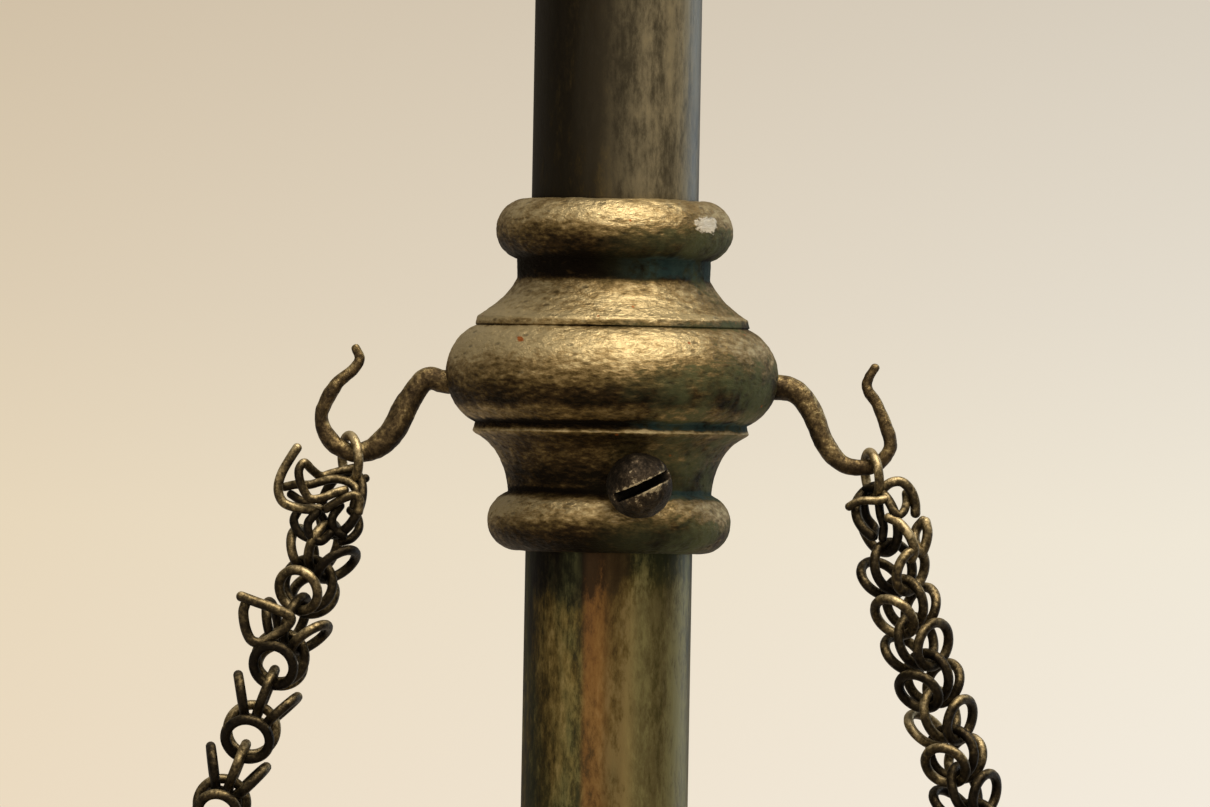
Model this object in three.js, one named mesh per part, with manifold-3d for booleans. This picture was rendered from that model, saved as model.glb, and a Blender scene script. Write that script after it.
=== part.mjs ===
// A hanging brass weighing scale: a tubular spring scale whose sliding collar carries two chains and a pan.
// Millimetres, +Z up. The origin is where a hook bears inside the top of the suspension ring.
// -Y is the front, the side of the clamp screw; the two chain hooks stand out along -X and +X.
import * as THREE from "three";
import { mergeVertices } from "three/addons/utils/BufferGeometryUtils.js";
import Module from "manifold-3d";

const wasm = await Module();
wasm.setup();

// ---------- driving dimensions ----------
const GAP = 0.3; // clearance between neighbouring pieces

const RING = { mean: 16, wire: 2.25 };
const EYE = { mean: 6.6, wire: 2.2, shank: 2.9, shankEnd: -62 };
const CAP_TOP = -44.3;
const CAP_CEILING = -54;
const CAP_SKIRT_END = -72;
const CAP_SCREW_Z = -67.5;
const CAP_SCREW_SHANK = 1.2;

const TUBE = { outer: 9.5, inner: 8.3, top: CAP_CEILING - GAP, bottom: -288 };
const CAP_BORE = TUBE.outer + GAP;

const BARE_TUBE_ABOVE = 60; // bare tube between the top cap and the collar
const COLLAR_TOP = CAP_SKIRT_END - BARE_TUBE_ABOVE;
const COLLAR_HEIGHT = 40.1;
const HOOK_ROOT = { r: 18.8, z: COLLAR_TOP - 21.1 };
const STROKE = 75; // travel of the collar at full load
const SLOT_HALF = 2.2;
const SCREW_SHANK = 1.8;

const CLAMP = { azimuth: 11.5, r: 16.5, z: COLLAR_TOP - 32.4, head: 3.7, slotTurn: 25 };
const DRIVER_SLOT = { width: 1, depth: 2.3 }; // in each ball-headed screw

const SPRING = { mean: 6.25, wire: 0.65, turns: 21 };
const CARRIAGE = { r: TUBE.inner - GAP, top: COLLAR_TOP - 5, bottom: COLLAR_TOP - 36 };
const SEAT_TOP = TUBE.bottom + 2;

const BOTTOM_CAP = { top: -277, floor: TUBE.bottom - GAP, end: -299 };
const BOTTOM_SCREW_Z = -282;

const LINK = { mean: 2.6, wire: 0.55 }; // the wire link that hangs in each hook
const CHAIN_RADIUS = 3.7;
const END_RING = { mean: 3.2, wire: 0.8 };

const PAN = { flat: 58, wall: 44, depth: 28, sheet: 1.2, lip: 112.5 };
const FOOT = { mean: 3, wire: 0.9, circle: 112, azimuth: 18 };
const FOOT_Z = -362;
const FOOT_RISE = 1.2; // height of a foot loop's centre above the middle of the lip's sheet
const PAN_BOTTOM = FOOT_Z - FOOT_RISE - PAN.depth + PAN.sheet / 2;
const STIRRUP = { height: 46, wire: 1, bend: 4 };

// Hook centrelines from the collar outwards: distance out from the root, height above it.
const HOOKS = {
  left: {
    side: -1,
    route: [[-4, 0], [0, 0], [2.4, 0.2], [4.4, -2.45], [6, -5.6], [8.3, -7.75], [10.8, -8.15],
      [13.1, -6.8], [14.2, -4.1], [12.65, -0.65], [10.6, 1.3], [9.95, 2.5], [10.4, 3.7]],
    lowest: 6,
    radii: [1.3, 1.3, 1.3, 1.4, 1.45, 1.3, 1.05, 0.95, 0.8, 0.75, 0.65, 0.6, 0.5],
  },
  right: {
    side: 1,
    route: [[-4, 0], [0, 0.1], [2.2, -0.45], [3.9, -2.5], [5.5, -6], [7.7, -8.5], [11, -8.75],
      [12.6, -7.3], [12.95, -5.6], [11.6, -2], [10.3, 0], [10.35, 1.2], [11.1, 2.5]],
    lowest: 6,
    radii: [1.5, 1.5, 1.35, 1.22, 1.15, 0.95, 0.82, 0.77, 0.73, 0.68, 0.62, 0.6, 0.52],
  },
};
const HOOK_SHANK = 1.6; // widest radius of a hook's shank inside the collar

// ---------- materials ----------
const finish = (color, roughness, metalness) =>
  new THREE.MeshStandardMaterial({ color, roughness, metalness });
const CAST_BRASS = finish(0x8a7a4a, 0.55, 0.9);
const TUBE_BRASS = finish(0x5a5236, 0.4, 0.95);
const PAN_BRASS = finish(0x9a8448, 0.35, 0.95);
const HOOK_BRONZE = finish(0x4a3d2a, 0.6, 0.8);
const CHAIN_WIRE = finish(0x4b3f2c, 0.5, 0.85);
const SCREW_STEEL = finish(0x57504a, 0.5, 0.9);
const SPRING_STEEL = finish(0x6e6e70, 0.35, 1);

// ---------- geometry helpers ----------
const rad = THREE.MathUtils.degToRad;
const v2 = (x, y) => new THREE.Vector2(x, y);
const v3 = (x, y, z) => new THREE.Vector3(x, y, z);

// A closed geometry as a manifold-3d solid whose faces point outwards.
function solid(geometry) {
  const bare = geometry.clone();
  bare.deleteAttribute("normal");
  bare.deleteAttribute("uv");
  const merged = mergeVertices(bare, 1e-4);
  const vertProperties = new Float32Array(merged.attributes.position.array);
  const triVerts = new Uint32Array(merged.index.array);
  const made = new wasm.Manifold(new wasm.Mesh({ numProp: 3, vertProperties, triVerts }));
  if (made.volume() > 0) return made;
  triVerts.reverse();
  return new wasm.Manifold(new wasm.Mesh({ numProp: 3, vertProperties, triVerts }));
}

function geometryOf(body) {
  const mesh = body.getMesh();
  const geometry = new THREE.BufferGeometry();
  geometry.setAttribute("position", new THREE.BufferAttribute(mesh.vertProperties, 3));
  geometry.setIndex(new THREE.BufferAttribute(mesh.triVerts, 1));
  geometry.computeVertexNormals();
  return geometry;
}

// Adds and then cuts geometries, and gives the result back as one geometry.
function built(base, cuts = [], joins = []) {
  let body = solid(base);
  joins.forEach((g) => (body = body.add(solid(g))));
  cuts.forEach((g) => (body = body.subtract(solid(g))));
  return geometryOf(body);
}

// Points of an elliptical arc in a (radius, height) profile, angles in degrees.
function arc(centreR, centreZ, a, b, from, to, steps) {
  return Array.from({ length: steps + 1 }, (_, i) => {
    const t = rad(from + ((to - from) * i) / steps);
    return v2(centreR + a * Math.cos(t), centreZ + b * Math.sin(t));
  });
}

const bend = (start, control, end, steps) =>
  new THREE.QuadraticBezierCurve(v2(...start), v2(...control), v2(...end)).getPoints(steps);

// A turned piece: the profile, in radius and height, starts and ends on the axis or closes on itself.
function turned(profile, sides) {
  return new THREE.LatheGeometry(profile, sides).rotateX(Math.PI / 2);
}

const ringProfile = (points) => [...points, points[0].clone()];

function polygon(radius, sides) {
  return new THREE.Shape(
    Array.from({ length: sides }, (_, i) => {
      const t = (2 * Math.PI * (i + 0.5)) / sides;
      return v2(radius * Math.cos(t), radius * Math.sin(t));
    }),
  );
}

function wireAlong(path, radius, sides, steps) {
  return new THREE.ExtrudeGeometry(polygon(radius, sides), {
    extrudePath: path,
    steps,
    bevelEnabled: false,
  });
}

// A round wire of changing thickness: rings drawn square to the path, one station after another.
function taperedWire(path, radii, sides, steps) {
  const frames = path.computeFrenetFrames(steps);
  const centres = path.getPoints(steps);
  const last = radii.length - 1;
  const corners = [];
  centres.forEach((centre, i) => {
    const at = (i / steps) * last;
    const before = Math.min(Math.floor(at), last - 1);
    const radius = THREE.MathUtils.lerp(radii[before], radii[before + 1], at - before);
    for (let k = 0; k < sides; k++) {
      const t = (2 * Math.PI * k) / sides;
      const corner = centre.clone();
      corner.addScaledVector(frames.normals[i], radius * Math.cos(t));
      corner.addScaledVector(frames.binormals[i], radius * Math.sin(t));
      corners.push(...corner.toArray());
    }
  });
  const faces = [];
  for (let i = 0; i < steps; i++) {
    for (let k = 0; k < sides; k++) {
      const [a, b] = [i * sides + k, i * sides + ((k + 1) % sides)];
      faces.push(a, b, b + sides, a, b + sides, a + sides);
    }
  }
  for (let k = 1; k < sides - 1; k++) {
    const end = steps * sides;
    faces.push(0, k + 1, k, end, end + k, end + k + 1);
  }
  const geometry = new THREE.BufferGeometry();
  geometry.setAttribute("position", new THREE.Float32BufferAttribute(corners, 3));
  return geometry.setIndex(faces);
}

const torus = (mean, wire, sides, steps) => new THREE.TorusGeometry(mean, wire, sides, steps);

// A rod along X or Y through the axis at height z, for cutting holes.
function rod(radius, length, axis, z, sides = 12) {
  const geometry = new THREE.CylinderGeometry(radius, radius, length, sides);
  if (axis === "x") geometry.rotateZ(Math.PI / 2);
  return geometry.translate(0, 0, z);
}

function piece(name, geometry, material) {
  const mesh = new THREE.Mesh(geometry, material);
  mesh.name = name;
  return mesh;
}

function group(...members) {
  const made = new THREE.Group();
  made.add(...members);
  return made;
}

// ---------- suspension ring and swivel ----------
const RING_CENTRE = -(RING.mean - RING.wire);
const RING_FOOT = RING_CENTRE - RING.mean; // centre of the ring's wire at its lowest point

function suspensionRing() {
  const geometry = torus(RING.mean, RING.wire, 8, 24).rotateX(Math.PI / 2);
  const mesh = piece("suspension_ring", built(geometry), CAST_BRASS);
  mesh.position.z = RING_CENTRE;
  return mesh;
}

function swivelEye() {
  const eyeCentre = RING_FOOT + RING.wire + GAP - (EYE.mean - EYE.wire);
  const loop = torus(EYE.mean, EYE.wire, 8, 16).rotateY(Math.PI / 2).translate(0, 0, eyeCentre);
  const neckTop = eyeCentre - EYE.mean;
  const stem = turned([
    v2(0, neckTop), v2(3.4, neckTop), v2(3.6, neckTop - 1.8), v2(6.4, CAP_TOP + 2.6),
    v2(6.6, CAP_TOP + GAP), v2(EYE.shank, CAP_TOP + GAP), v2(EYE.shank, EYE.shankEnd), v2(0, EYE.shankEnd),
  ], 16);
  return piece("swivel_eye", built(loop, [], [stem]), CAST_BRASS);
}

function swivelWasher() {
  const bore = EYE.shank + GAP;
  const rim = 6.2;
  const top = CAP_CEILING - GAP;
  const bottom = top - 1;
  const profile = ringProfile([v2(bore, top), v2(rim, top), v2(rim, bottom), v2(bore, bottom)]);
  return piece("swivel_washer", built(turned(profile, 16)), PAN_BRASS);
}

function swivelNut() {
  const acrossCorners = 5.4;
  const hexagon = polygon(acrossCorners, 6);
  const geometry = new THREE.ExtrudeGeometry(hexagon, { depth: 4.2, bevelEnabled: false });
  geometry.translate(0, 0, CAP_CEILING - 1.6 - 4.2);
  const bore = new THREE.CylinderGeometry(EYE.shank + GAP, EYE.shank + GAP, 12, 16);
  bore.rotateX(Math.PI / 2).translate(0, 0, CAP_CEILING - 3.7);
  return piece("swivel_nut", built(geometry, [bore]), SCREW_STEEL);
}

// ---------- housing: the tube, its caps and what stays still inside ----------
function topCap() {
  const bore = EYE.shank + GAP;
  const profile = ringProfile([
    v2(bore, CAP_TOP), v2(6.2, CAP_TOP),
    ...bend([6.4, CAP_TOP - 1], [6.8, CAP_TOP - 7], [11.4, CAP_TOP - 8.6], 3),
    ...arc(10.6, CAP_TOP - 11.2, 2.4, 2.2, 75, -75, 4),
    v2(11.3, CAP_TOP - 14), v2(11.3, CAP_SKIRT_END + 2.4),
    ...arc(10.9, CAP_SKIRT_END + 1.2, 1.2, 1.2, 70, -90, 3),
    v2(CAP_BORE, CAP_SKIRT_END), v2(CAP_BORE, CAP_CEILING), v2(bore, CAP_CEILING),
  ]);
  const screwHole = rod(CAP_SCREW_SHANK + GAP, 40, "x", CAP_SCREW_Z, 10);
  return piece("top_cap", built(turned(profile, 24), [screwHole]), CAST_BRASS);
}

function slotCutter() {
  const top = HOOK_ROOT.z;
  const shape = new THREE.Shape();
  shape.absarc(0, top, SLOT_HALF, 0, Math.PI);
  shape.absarc(0, top - STROKE, SLOT_HALF, Math.PI, 2 * Math.PI);
  const geometry = new THREE.ExtrudeGeometry(shape, { depth: 14, bevelEnabled: false, curveSegments: 4 });
  return geometry.rotateX(Math.PI / 2).translate(0, 15, 0);
}

function scaleTube() {
  const { outer, inner, top, bottom } = TUBE;
  const profile = ringProfile([v2(outer, bottom), v2(outer, top), v2(inner, top), v2(inner, bottom)]);
  const holes = [CAP_SCREW_Z, BOTTOM_SCREW_Z].map((z) => rod(CAP_SCREW_SHANK + GAP, 40, "x", z, 10));
  return piece("scale_tube", built(turned(profile, 36), [slotCutter(), ...holes]), TUBE_BRASS);
}

function bottomCap() {
  const { top, floor, end } = BOTTOM_CAP;
  const bore = 3;
  const profile = ringProfile([
    v2(CAP_BORE, floor), v2(CAP_BORE, top), v2(10.9, top),
    ...arc(10.9, top - 1.4, 1.5, 1.4, 90, -70, 3),
    v2(11.3, top - 8.6),
    ...arc(10.8, top - 11.4, 2.5, 2.3, 72, -72, 4),
    ...bend([11.2, top - 14], [6.6, top - 16], [5.4, end + 1.2], 3),
    v2(5.2, end), v2(bore, end), v2(bore, floor),
  ]);
  const screwHole = rod(CAP_SCREW_SHANK + GAP, 40, "x", BOTTOM_SCREW_Z, 10);
  return piece("bottom_cap", built(turned(profile, 24), [screwHole]), CAST_BRASS);
}

function bottomFinial() {
  const top = BOTTOM_CAP.end - GAP;
  const spigot = 2.7;
  const profile = [
    v2(0, BOTTOM_CAP.floor - 1), v2(spigot, BOTTOM_CAP.floor - 1), v2(spigot, top), v2(4.6, top),
    v2(4.6, top - 1.2), v2(2.9, top - 2.4),
    ...arc(0, top - 7.2, 5, 5.2, 55, -65, 5),
    v2(1.2, top - 13.2), v2(0, top - 13.9),
  ];
  return piece("bottom_finial", built(turned(profile, 16)), CAST_BRASS);
}

function springSeat() {
  const profile = [
    v2(0, SEAT_TOP + 5), v2(4.6, SEAT_TOP + 5), v2(5, SEAT_TOP + 4), v2(5, SEAT_TOP),
    v2(TUBE.inner - GAP, SEAT_TOP), v2(TUBE.inner - GAP, TUBE.bottom), v2(0, TUBE.bottom),
  ];
  return piece("spring_seat", built(turned(profile, 20)), PAN_BRASS);
}

class Helix extends THREE.Curve {
  constructor(radius, low, high, turns) {
    super();
    Object.assign(this, { radius, low, high, turns });
    this.arcLengthDivisions = 40 * turns;
  }
  getPoint(t, target = v3(0, 0, 0)) {
    const a = 2 * Math.PI * this.turns * t;
    const z = THREE.MathUtils.lerp(this.low, this.high, t);
    return target.set(this.radius * Math.cos(a), this.radius * Math.sin(a), z);
  }
}

function loadSpring() {
  const low = SEAT_TOP + GAP + SPRING.wire;
  const high = CARRIAGE.bottom - GAP - SPRING.wire;
  const path = new Helix(SPRING.mean, low, high, SPRING.turns);
  return piece("load_spring", built(wireAlong(path, SPRING.wire, 4, SPRING.turns * 8)), SPRING_STEEL);
}

// A round-headed screw along +Z, the ball's centre at the origin, slotted across the top.
function ballScrew(head, shank, length, slotTurn) {
  const start = -THREE.MathUtils.radToDeg(Math.acos(shank / head));
  const profile = [v2(0, -length), v2(shank, -length), ...arc(0, 0, head, head, start, 90, 7)];
  const slot = new THREE.BoxGeometry(3 * head, DRIVER_SLOT.width, 2 * DRIVER_SLOT.depth);
  slot.translate(0, 0, head).rotateZ(rad(slotTurn));
  return built(turned(profile, 14), [slot]);
}

// A small cheese-head screw through a cap's skirt, along +Z with its seat at the origin.
function capScrew(name, side, z) {
  const shank = CAP_SCREW_SHANK;
  const head = 2.1;
  const profile = [
    v2(0, -2.9), v2(shank, -2.9), v2(shank, GAP), v2(head, GAP), v2(head, 1), v2(1.4, 1.4), v2(0, 1.5),
  ];
  const slot = new THREE.BoxGeometry(6, 0.6, 1).translate(0, 0, 1.6);
  const mesh = piece(name, built(turned(profile, 10), [slot]), SCREW_STEEL);
  mesh.rotation.y = (side * Math.PI) / 2;
  mesh.position.set(side * 11.3, 0, z);
  return mesh;
}

// ---------- slider: the collar, its carriage and the hooks ----------
function collarProfile() {
  const bore = CAP_BORE;
  return ringProfile([
    v2(bore, 0),
    ...arc(10, -3.5, 3.5, 3.5, 90, -73.4, 5), // upper round flange
    ...bend([11, -9.1], [12.2, -11.5], [15.4, -13.5], 2),
    v2(15.6, -14.4),
    ...arc(13.4, -20, 5.5, 5.9, 68.8, -68.8, 6), // bulge
    v2(15.7, -26.5),
    ...bend([15.3, -26.8], [12.2, -28.4], [11.6, -33.2], 3),
    ...arc(10.4, -36.65, 3.45, 3.45, 69.6, -90, 5), // lower round flange
    v2(bore, -COLLAR_HEIGHT),
  ]);
}

function collar() {
  const holes = Object.values(HOOKS).map(({ side }) =>
    new THREE.CylinderGeometry(HOOK_SHANK + GAP, HOOK_SHANK + GAP, 8, 12)
      .rotateZ(Math.PI / 2)
      .translate(side * 18.4, 0, HOOK_ROOT.z),
  );
  const carriageHole = new THREE.CylinderGeometry(SCREW_SHANK + GAP, SCREW_SHANK + GAP, 14, 12);
  carriageHole.translate(0, 15, HOOK_ROOT.z);
  const clampHole = new THREE.CylinderGeometry(SCREW_SHANK + GAP, SCREW_SHANK + GAP, 12, 12);
  clampHole.translate(0, -13, CLAMP.z).rotateZ(rad(CLAMP.azimuth));
  const body = turned(collarProfile(), 30).translate(0, 0, COLLAR_TOP);
  return piece("collar", built(body, [...holes, carriageHole, clampHole]), CAST_BRASS);
}

function carriage() {
  const { r, top, bottom } = CARRIAGE;
  const profile = [
    v2(0, top), v2(r - 1, top), v2(r, top - 1), v2(r, bottom), v2(5.2, bottom), v2(5.2, bottom - 5),
    v2(4.4, bottom - 6), v2(0, bottom - 6),
  ];
  const hole = new THREE.CylinderGeometry(SCREW_SHANK + GAP, SCREW_SHANK + GAP, 12, 12);
  hole.translate(0, 7, HOOK_ROOT.z);
  return piece("carriage", built(turned(profile, 20), [hole]), PAN_BRASS);
}

function carriageScrew() {
  const headCentre = 22.6;
  const mesh = piece("carriage_screw", ballScrew(CLAMP.head, SCREW_SHANK, headCentre - 2, 60), SCREW_STEEL);
  mesh.rotation.x = -Math.PI / 2;
  mesh.position.set(0, headCentre, HOOK_ROOT.z);
  return mesh;
}

function clampScrew() {
  const reach = CLAMP.r - TUBE.outer - GAP;
  const mesh = piece("clamp_screw", ballScrew(CLAMP.head, SCREW_SHANK, reach, CLAMP.slotTurn), SCREW_STEEL);
  mesh.rotation.x = Math.PI / 2;
  mesh.position.set(0, -CLAMP.r, CLAMP.z);
  const turnedOut = group(mesh);
  turnedOut.rotation.z = rad(CLAMP.azimuth);
  return turnedOut;
}

function hook(name, { side, route, radii }) {
  const points = route.map(([out, up]) => v3(side * (HOOK_ROOT.r + out), 0, HOOK_ROOT.z + up));
  const path = new THREE.CatmullRomCurve3(points);
  return piece("hook_" + name, built(taperedWire(path, radii, 8, 24)), HOOK_BRONZE);
}

// ---------- chains and pan ----------
// Each side hangs from the lowest point of its hook: the link first, then the chain, straight to the pan.
function hangingLine({ side, route, lowest, radii }) {
  const [out, up] = route[lowest];
  const hookLow = v3(side * (HOOK_ROOT.r + out), 0, HOOK_ROOT.z + up);
  const linkCentre = hookLow.clone();
  linkCentre.z += radii[lowest] + GAP - (LINK.mean - LINK.wire);
  const top = linkCentre.clone();
  top.z -= LINK.mean;
  const foot = v3(side * FOOT.circle * Math.cos(rad(FOOT.azimuth)), 0, FOOT_Z);
  const along = top.clone().sub(foot).normalize();
  return { side, linkCentre, top, foot, along, length: top.distanceTo(foot) };
}

function hookLink(name, line) {
  const mesh = piece("hook_link_" + name, built(torus(LINK.mean, LINK.wire, 6, 14)), CHAIN_WIRE);
  mesh.rotation.y = Math.PI / 2;
  mesh.position.copy(line.linkCentre);
  return mesh;
}

const endRingAt = STIRRUP.height + END_RING.mean - END_RING.wire - STIRRUP.wire - GAP;

function chain(name, line) {
  const start = endRingAt + END_RING.mean + END_RING.wire + 0.5;
  const end = line.length - LINK.wire - 1;
  const low = line.foot.clone().addScaledVector(line.along, start);
  const high = line.foot.clone().addScaledVector(line.along, end);
  const geometry = wireAlong(new THREE.LineCurve3(low, high), CHAIN_RADIUS, 8, 12);
  return piece("chain_" + name, built(geometry), CHAIN_WIRE);
}

function chainEndRing(name, line) {
  const mesh = piece("chain_end_ring_" + name, built(torus(END_RING.mean, END_RING.wire, 6, 14)), CHAIN_WIRE);
  mesh.rotation.x = Math.PI / 2;
  mesh.position.copy(line.foot).addScaledVector(line.along, endRingAt);
  return mesh;
}

// The stirrup is drawn in its own plane: Y across, Z up the line of the chain.
function stirrup(name, line) {
  const half = FOOT.circle * Math.sin(rad(FOOT.azimuth));
  const apex = v3(0, 0, STIRRUP.height + 1.6);
  const feet = [-half, half].map((y) => v3(0, y, 0));
  const towards = feet.map((f) => apex.clone().sub(f).normalize());
  const starts = feet.map((f, i) => f.clone().addScaledVector(towards[i], FOOT.mean));
  const shoulders = towards.map((d) => apex.clone().addScaledVector(d, -STIRRUP.bend));
  const path = new THREE.CurvePath();
  path.add(new THREE.LineCurve3(starts[0], shoulders[0]));
  path.add(new THREE.QuadraticBezierCurve3(shoulders[0], apex, shoulders[1]));
  path.add(new THREE.LineCurve3(shoulders[1], starts[1]));
  const tilt = Math.atan2(line.along.x, line.along.z);
  const legs = wireAlong(path, STIRRUP.wire, 6, 20).rotateY(tilt);
  const loops = feet.map((f, i) =>
    torus(FOOT.mean, FOOT.wire, 6, 14)
      .rotateX(Math.PI / 2)
      .rotateZ(line.side * (i ? 1 : -1) * rad(FOOT.azimuth))
      .translate(0, f.y, 0),
  );
  const mesh = piece("stirrup_" + name, built(legs, [], loops), HOOK_BRONZE);
  mesh.position.copy(line.foot);
  return mesh;
}

function pan() {
  const { flat, wall, depth, sheet, lip } = PAN;
  const under = depth - sheet;
  const outerWall = arc(flat, under, wall, under, -90, 0, 6);
  const innerWall = arc(flat, under, wall - sheet, under - sheet, 0, -90, 6);
  const profile = [
    v2(0, 0), ...outerWall, v2(lip - 0.5, under), v2(lip, under + 0.4), v2(lip, depth - 0.4),
    v2(lip - 0.5, depth), v2(flat + wall, depth), ...innerWall, v2(0, sheet),
  ];
  const holeCircle = FOOT.circle - Math.sqrt(FOOT.mean ** 2 - FOOT_RISE ** 2);
  const holes = [FOOT.azimuth, -FOOT.azimuth, 180 - FOOT.azimuth, 180 + FOOT.azimuth].map((a) =>
    new THREE.CylinderGeometry(2, 2, 6, 12)
      .rotateX(Math.PI / 2)
      .translate(holeCircle, 0, under)
      .rotateZ(rad(a)),
  );
  const mesh = piece("pan", built(turned(profile, 40), holes), PAN_BRASS);
  mesh.position.z = PAN_BOTTOM;
  return mesh;
}

// ---------- assembly ----------
const swivel = group(swivelEye(), swivelWasher(), swivelNut());
const housing = group(
  topCap(), capScrew("top_cap_screw_left", -1, CAP_SCREW_Z), capScrew("top_cap_screw_right", 1, CAP_SCREW_Z),
  scaleTube(), bottomCap(), capScrew("bottom_cap_screw_left", -1, BOTTOM_SCREW_Z),
  capScrew("bottom_cap_screw_right", 1, BOTTOM_SCREW_Z), bottomFinial(), springSeat(), loadSpring(),
);
const slider = group(collar(), carriage(), carriageScrew(), clampScrew());
const hanger = group(pan());
for (const [name, shape] of Object.entries(HOOKS)) {
  const line = hangingLine(shape);
  slider.add(hook(name, shape));
  hanger.add(hookLink(name, line), chain(name, line), chainEndRing(name, line), stirrup(name, line));
}

const scale = group(suspensionRing(), swivel, housing, slider, hanger);
scale.name = "brass_weighing_scale";
export default scale;
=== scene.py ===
"""Brass weighing scale: every piece's final mesh and material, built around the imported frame."""

import functools
import math
import random

import bpy
import numpy as np
from mathutils import Matrix, Quaternion, Vector, noise


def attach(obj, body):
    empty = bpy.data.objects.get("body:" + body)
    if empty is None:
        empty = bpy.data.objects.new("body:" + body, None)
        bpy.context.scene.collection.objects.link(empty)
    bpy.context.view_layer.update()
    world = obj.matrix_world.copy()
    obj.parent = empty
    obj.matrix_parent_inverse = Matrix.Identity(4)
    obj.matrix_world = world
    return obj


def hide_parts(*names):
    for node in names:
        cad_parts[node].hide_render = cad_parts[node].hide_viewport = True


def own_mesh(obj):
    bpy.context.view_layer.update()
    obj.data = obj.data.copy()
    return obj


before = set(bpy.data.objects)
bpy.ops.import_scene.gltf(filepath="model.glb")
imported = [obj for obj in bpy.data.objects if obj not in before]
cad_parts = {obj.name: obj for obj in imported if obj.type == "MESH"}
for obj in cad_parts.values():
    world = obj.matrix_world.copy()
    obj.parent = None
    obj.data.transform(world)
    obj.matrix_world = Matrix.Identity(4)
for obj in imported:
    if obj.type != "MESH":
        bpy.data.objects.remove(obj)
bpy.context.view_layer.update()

# ---------- driving dimensions, in millimetres in the row frame ----------
MM = 0.001
GAP = 0.3

RING = {"mean": 16, "wire": 2.25}
EYE = {"mean": 6.6, "wire": 2.2, "shank": 2.9, "shank_end": -62}
CAP_TOP = -44.3
CAP_CEILING = -54
CAP_SKIRT_END = -72
CAP_SCREW_Z = -67.5

TUBE = {"outer": 9.5, "inner": 8.3, "top": -54.3, "bottom": -288}
CAP_BORE = TUBE["outer"] + GAP

COLLAR_TOP = -132
COLLAR_HEIGHT = 40.1
HOOK_ROOT = {"r": 18.8, "z": COLLAR_TOP - 21.1}
STROKE = 75
FULL_LOAD_KG = 5
SLOT_HALF = 2.2
SCREW_SHANK = 1.8

CLAMP = {"azimuth": 11.5, "r": 16.5, "z": COLLAR_TOP - 32.4, "head": 3.7, "slot_turn": 25}
DRIVER_SLOT = {"width": 1, "depth": 2.3}
CARRIAGE_SCREW_Y = 22.6

SPRING = {"mean": 6.25, "wire": 0.65, "turns": 21}
CARRIAGE = {"r": TUBE["inner"] - GAP, "top": COLLAR_TOP - 5, "bottom": COLLAR_TOP - 36}
SEAT_TOP = TUBE["bottom"] + 2

BOTTOM_CAP = {"top": -277, "floor": TUBE["bottom"] - GAP, "end": -299}
BOTTOM_SCREW_Z = -282

LINK = {"mean": 2.6, "wire": 0.55}
END_RING = {"mean": 3.2, "wire": 0.8}
PAN = {"flat": 58, "wall": 44, "depth": 28, "sheet": 1.2, "lip": 112.5}
FOOT = {"mean": 3, "wire": 0.9, "circle": 112, "azimuth": 18}
FOOT_Z = -362
FOOT_RISE = 1.2
PAN_BOTTOM = FOOT_Z - FOOT_RISE - PAN["depth"] + PAN["sheet"] / 2
STIRRUP = {"height": 46, "wire": 1, "bend": 4}

FLOOR = {"half": 6000, "z": -620}
CAMERA = {"away": 1500, "frame": 137.7, "sensor": 36, "roll": 1.04, "x": -0.74, "z": COLLAR_TOP - 23.2}

# Each side's hook and what hangs from it. route is the hook's centreline from the collar outwards: distance
# out from the root, height above it, wire radius. link is the turn and the lean of the link in the hook, in
# degrees. sag is how far the chain hangs under its straight line, halfway down. twist is the weave's turn at
# the top, in degrees, and the share of the line at which it has eased to none.
HOOKS = {
    "left": {
        "side": -1,
        "link": (-68, -4),
        "sag": 0.6,
        "twist": (45, 0.16),
        "route": [(-4, 0, 1.3), (0, 0, 1.3), (2.4, 0.2, 1.3), (4.4, -2.45, 1.4), (6, -5.6, 1.45),
                  (8.3, -7.75, 1.3), (10.8, -8.15, 1.05), (13.1, -6.8, 0.95), (14.2, -4.1, 0.8),
                  (12.65, -0.65, 0.75), (10.6, 1.3, 0.65), (9.95, 2.5, 0.6), (10.4, 3.7, 0.5)],
    },
    "right": {
        "side": 1,
        "link": (-74, -8),
        "sag": 2.4,
        "twist": (50, 0.6),
        "route": [(-4, 0, 1.5), (0, 0.1, 1.5), (2.2, -0.45, 1.35), (3.9, -2.5, 1.22), (5.5, -6, 1.15),
                  (7.7, -8.5, 0.95), (11, -8.75, 0.82), (12.6, -7.3, 0.77), (12.95, -5.6, 0.73),
                  (11.6, -2, 0.68), (10.3, 0, 0.62), (10.35, 1.2, 0.6), (11.1, 2.5, 0.52)],
    },
}
LOWEST = 6  # the route point that the chain link hangs under

BACK = math.pi / 2  # the tube's slotted side faces +Y

# The graduations: marks to the kilogram, how far a mark reaches under and over the tube's skin, the gap
# from the slot's middle to a mark, and the numerals' height and place.
MARK = {"per_kg": 10, "under": 0.05, "over": 0.02, "inset": SLOT_HALF + 1.2, "numeral": 2.7,
        "numeral_at": 6.4}


# ---------- profiles and paths ----------
def arc(centre_r, centre_z, a, b, start, end, steps):
    """Points of an elliptical arc in a (radius, height) profile, angles in degrees."""
    angles = np.radians(np.linspace(start, end, steps + 1))
    return [(centre_r + a * math.cos(t), centre_z + b * math.sin(t)) for t in angles]


def bend(start, control, end, steps):
    """Points of a quadratic Bezier curve."""
    start, control, end = map(np.array, (start, control, end))
    shares = np.linspace(0, 1, steps + 1)
    return [tuple((1 - t) ** 2 * start + 2 * t * (1 - t) * control + t * t * end) for t in shares]


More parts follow.
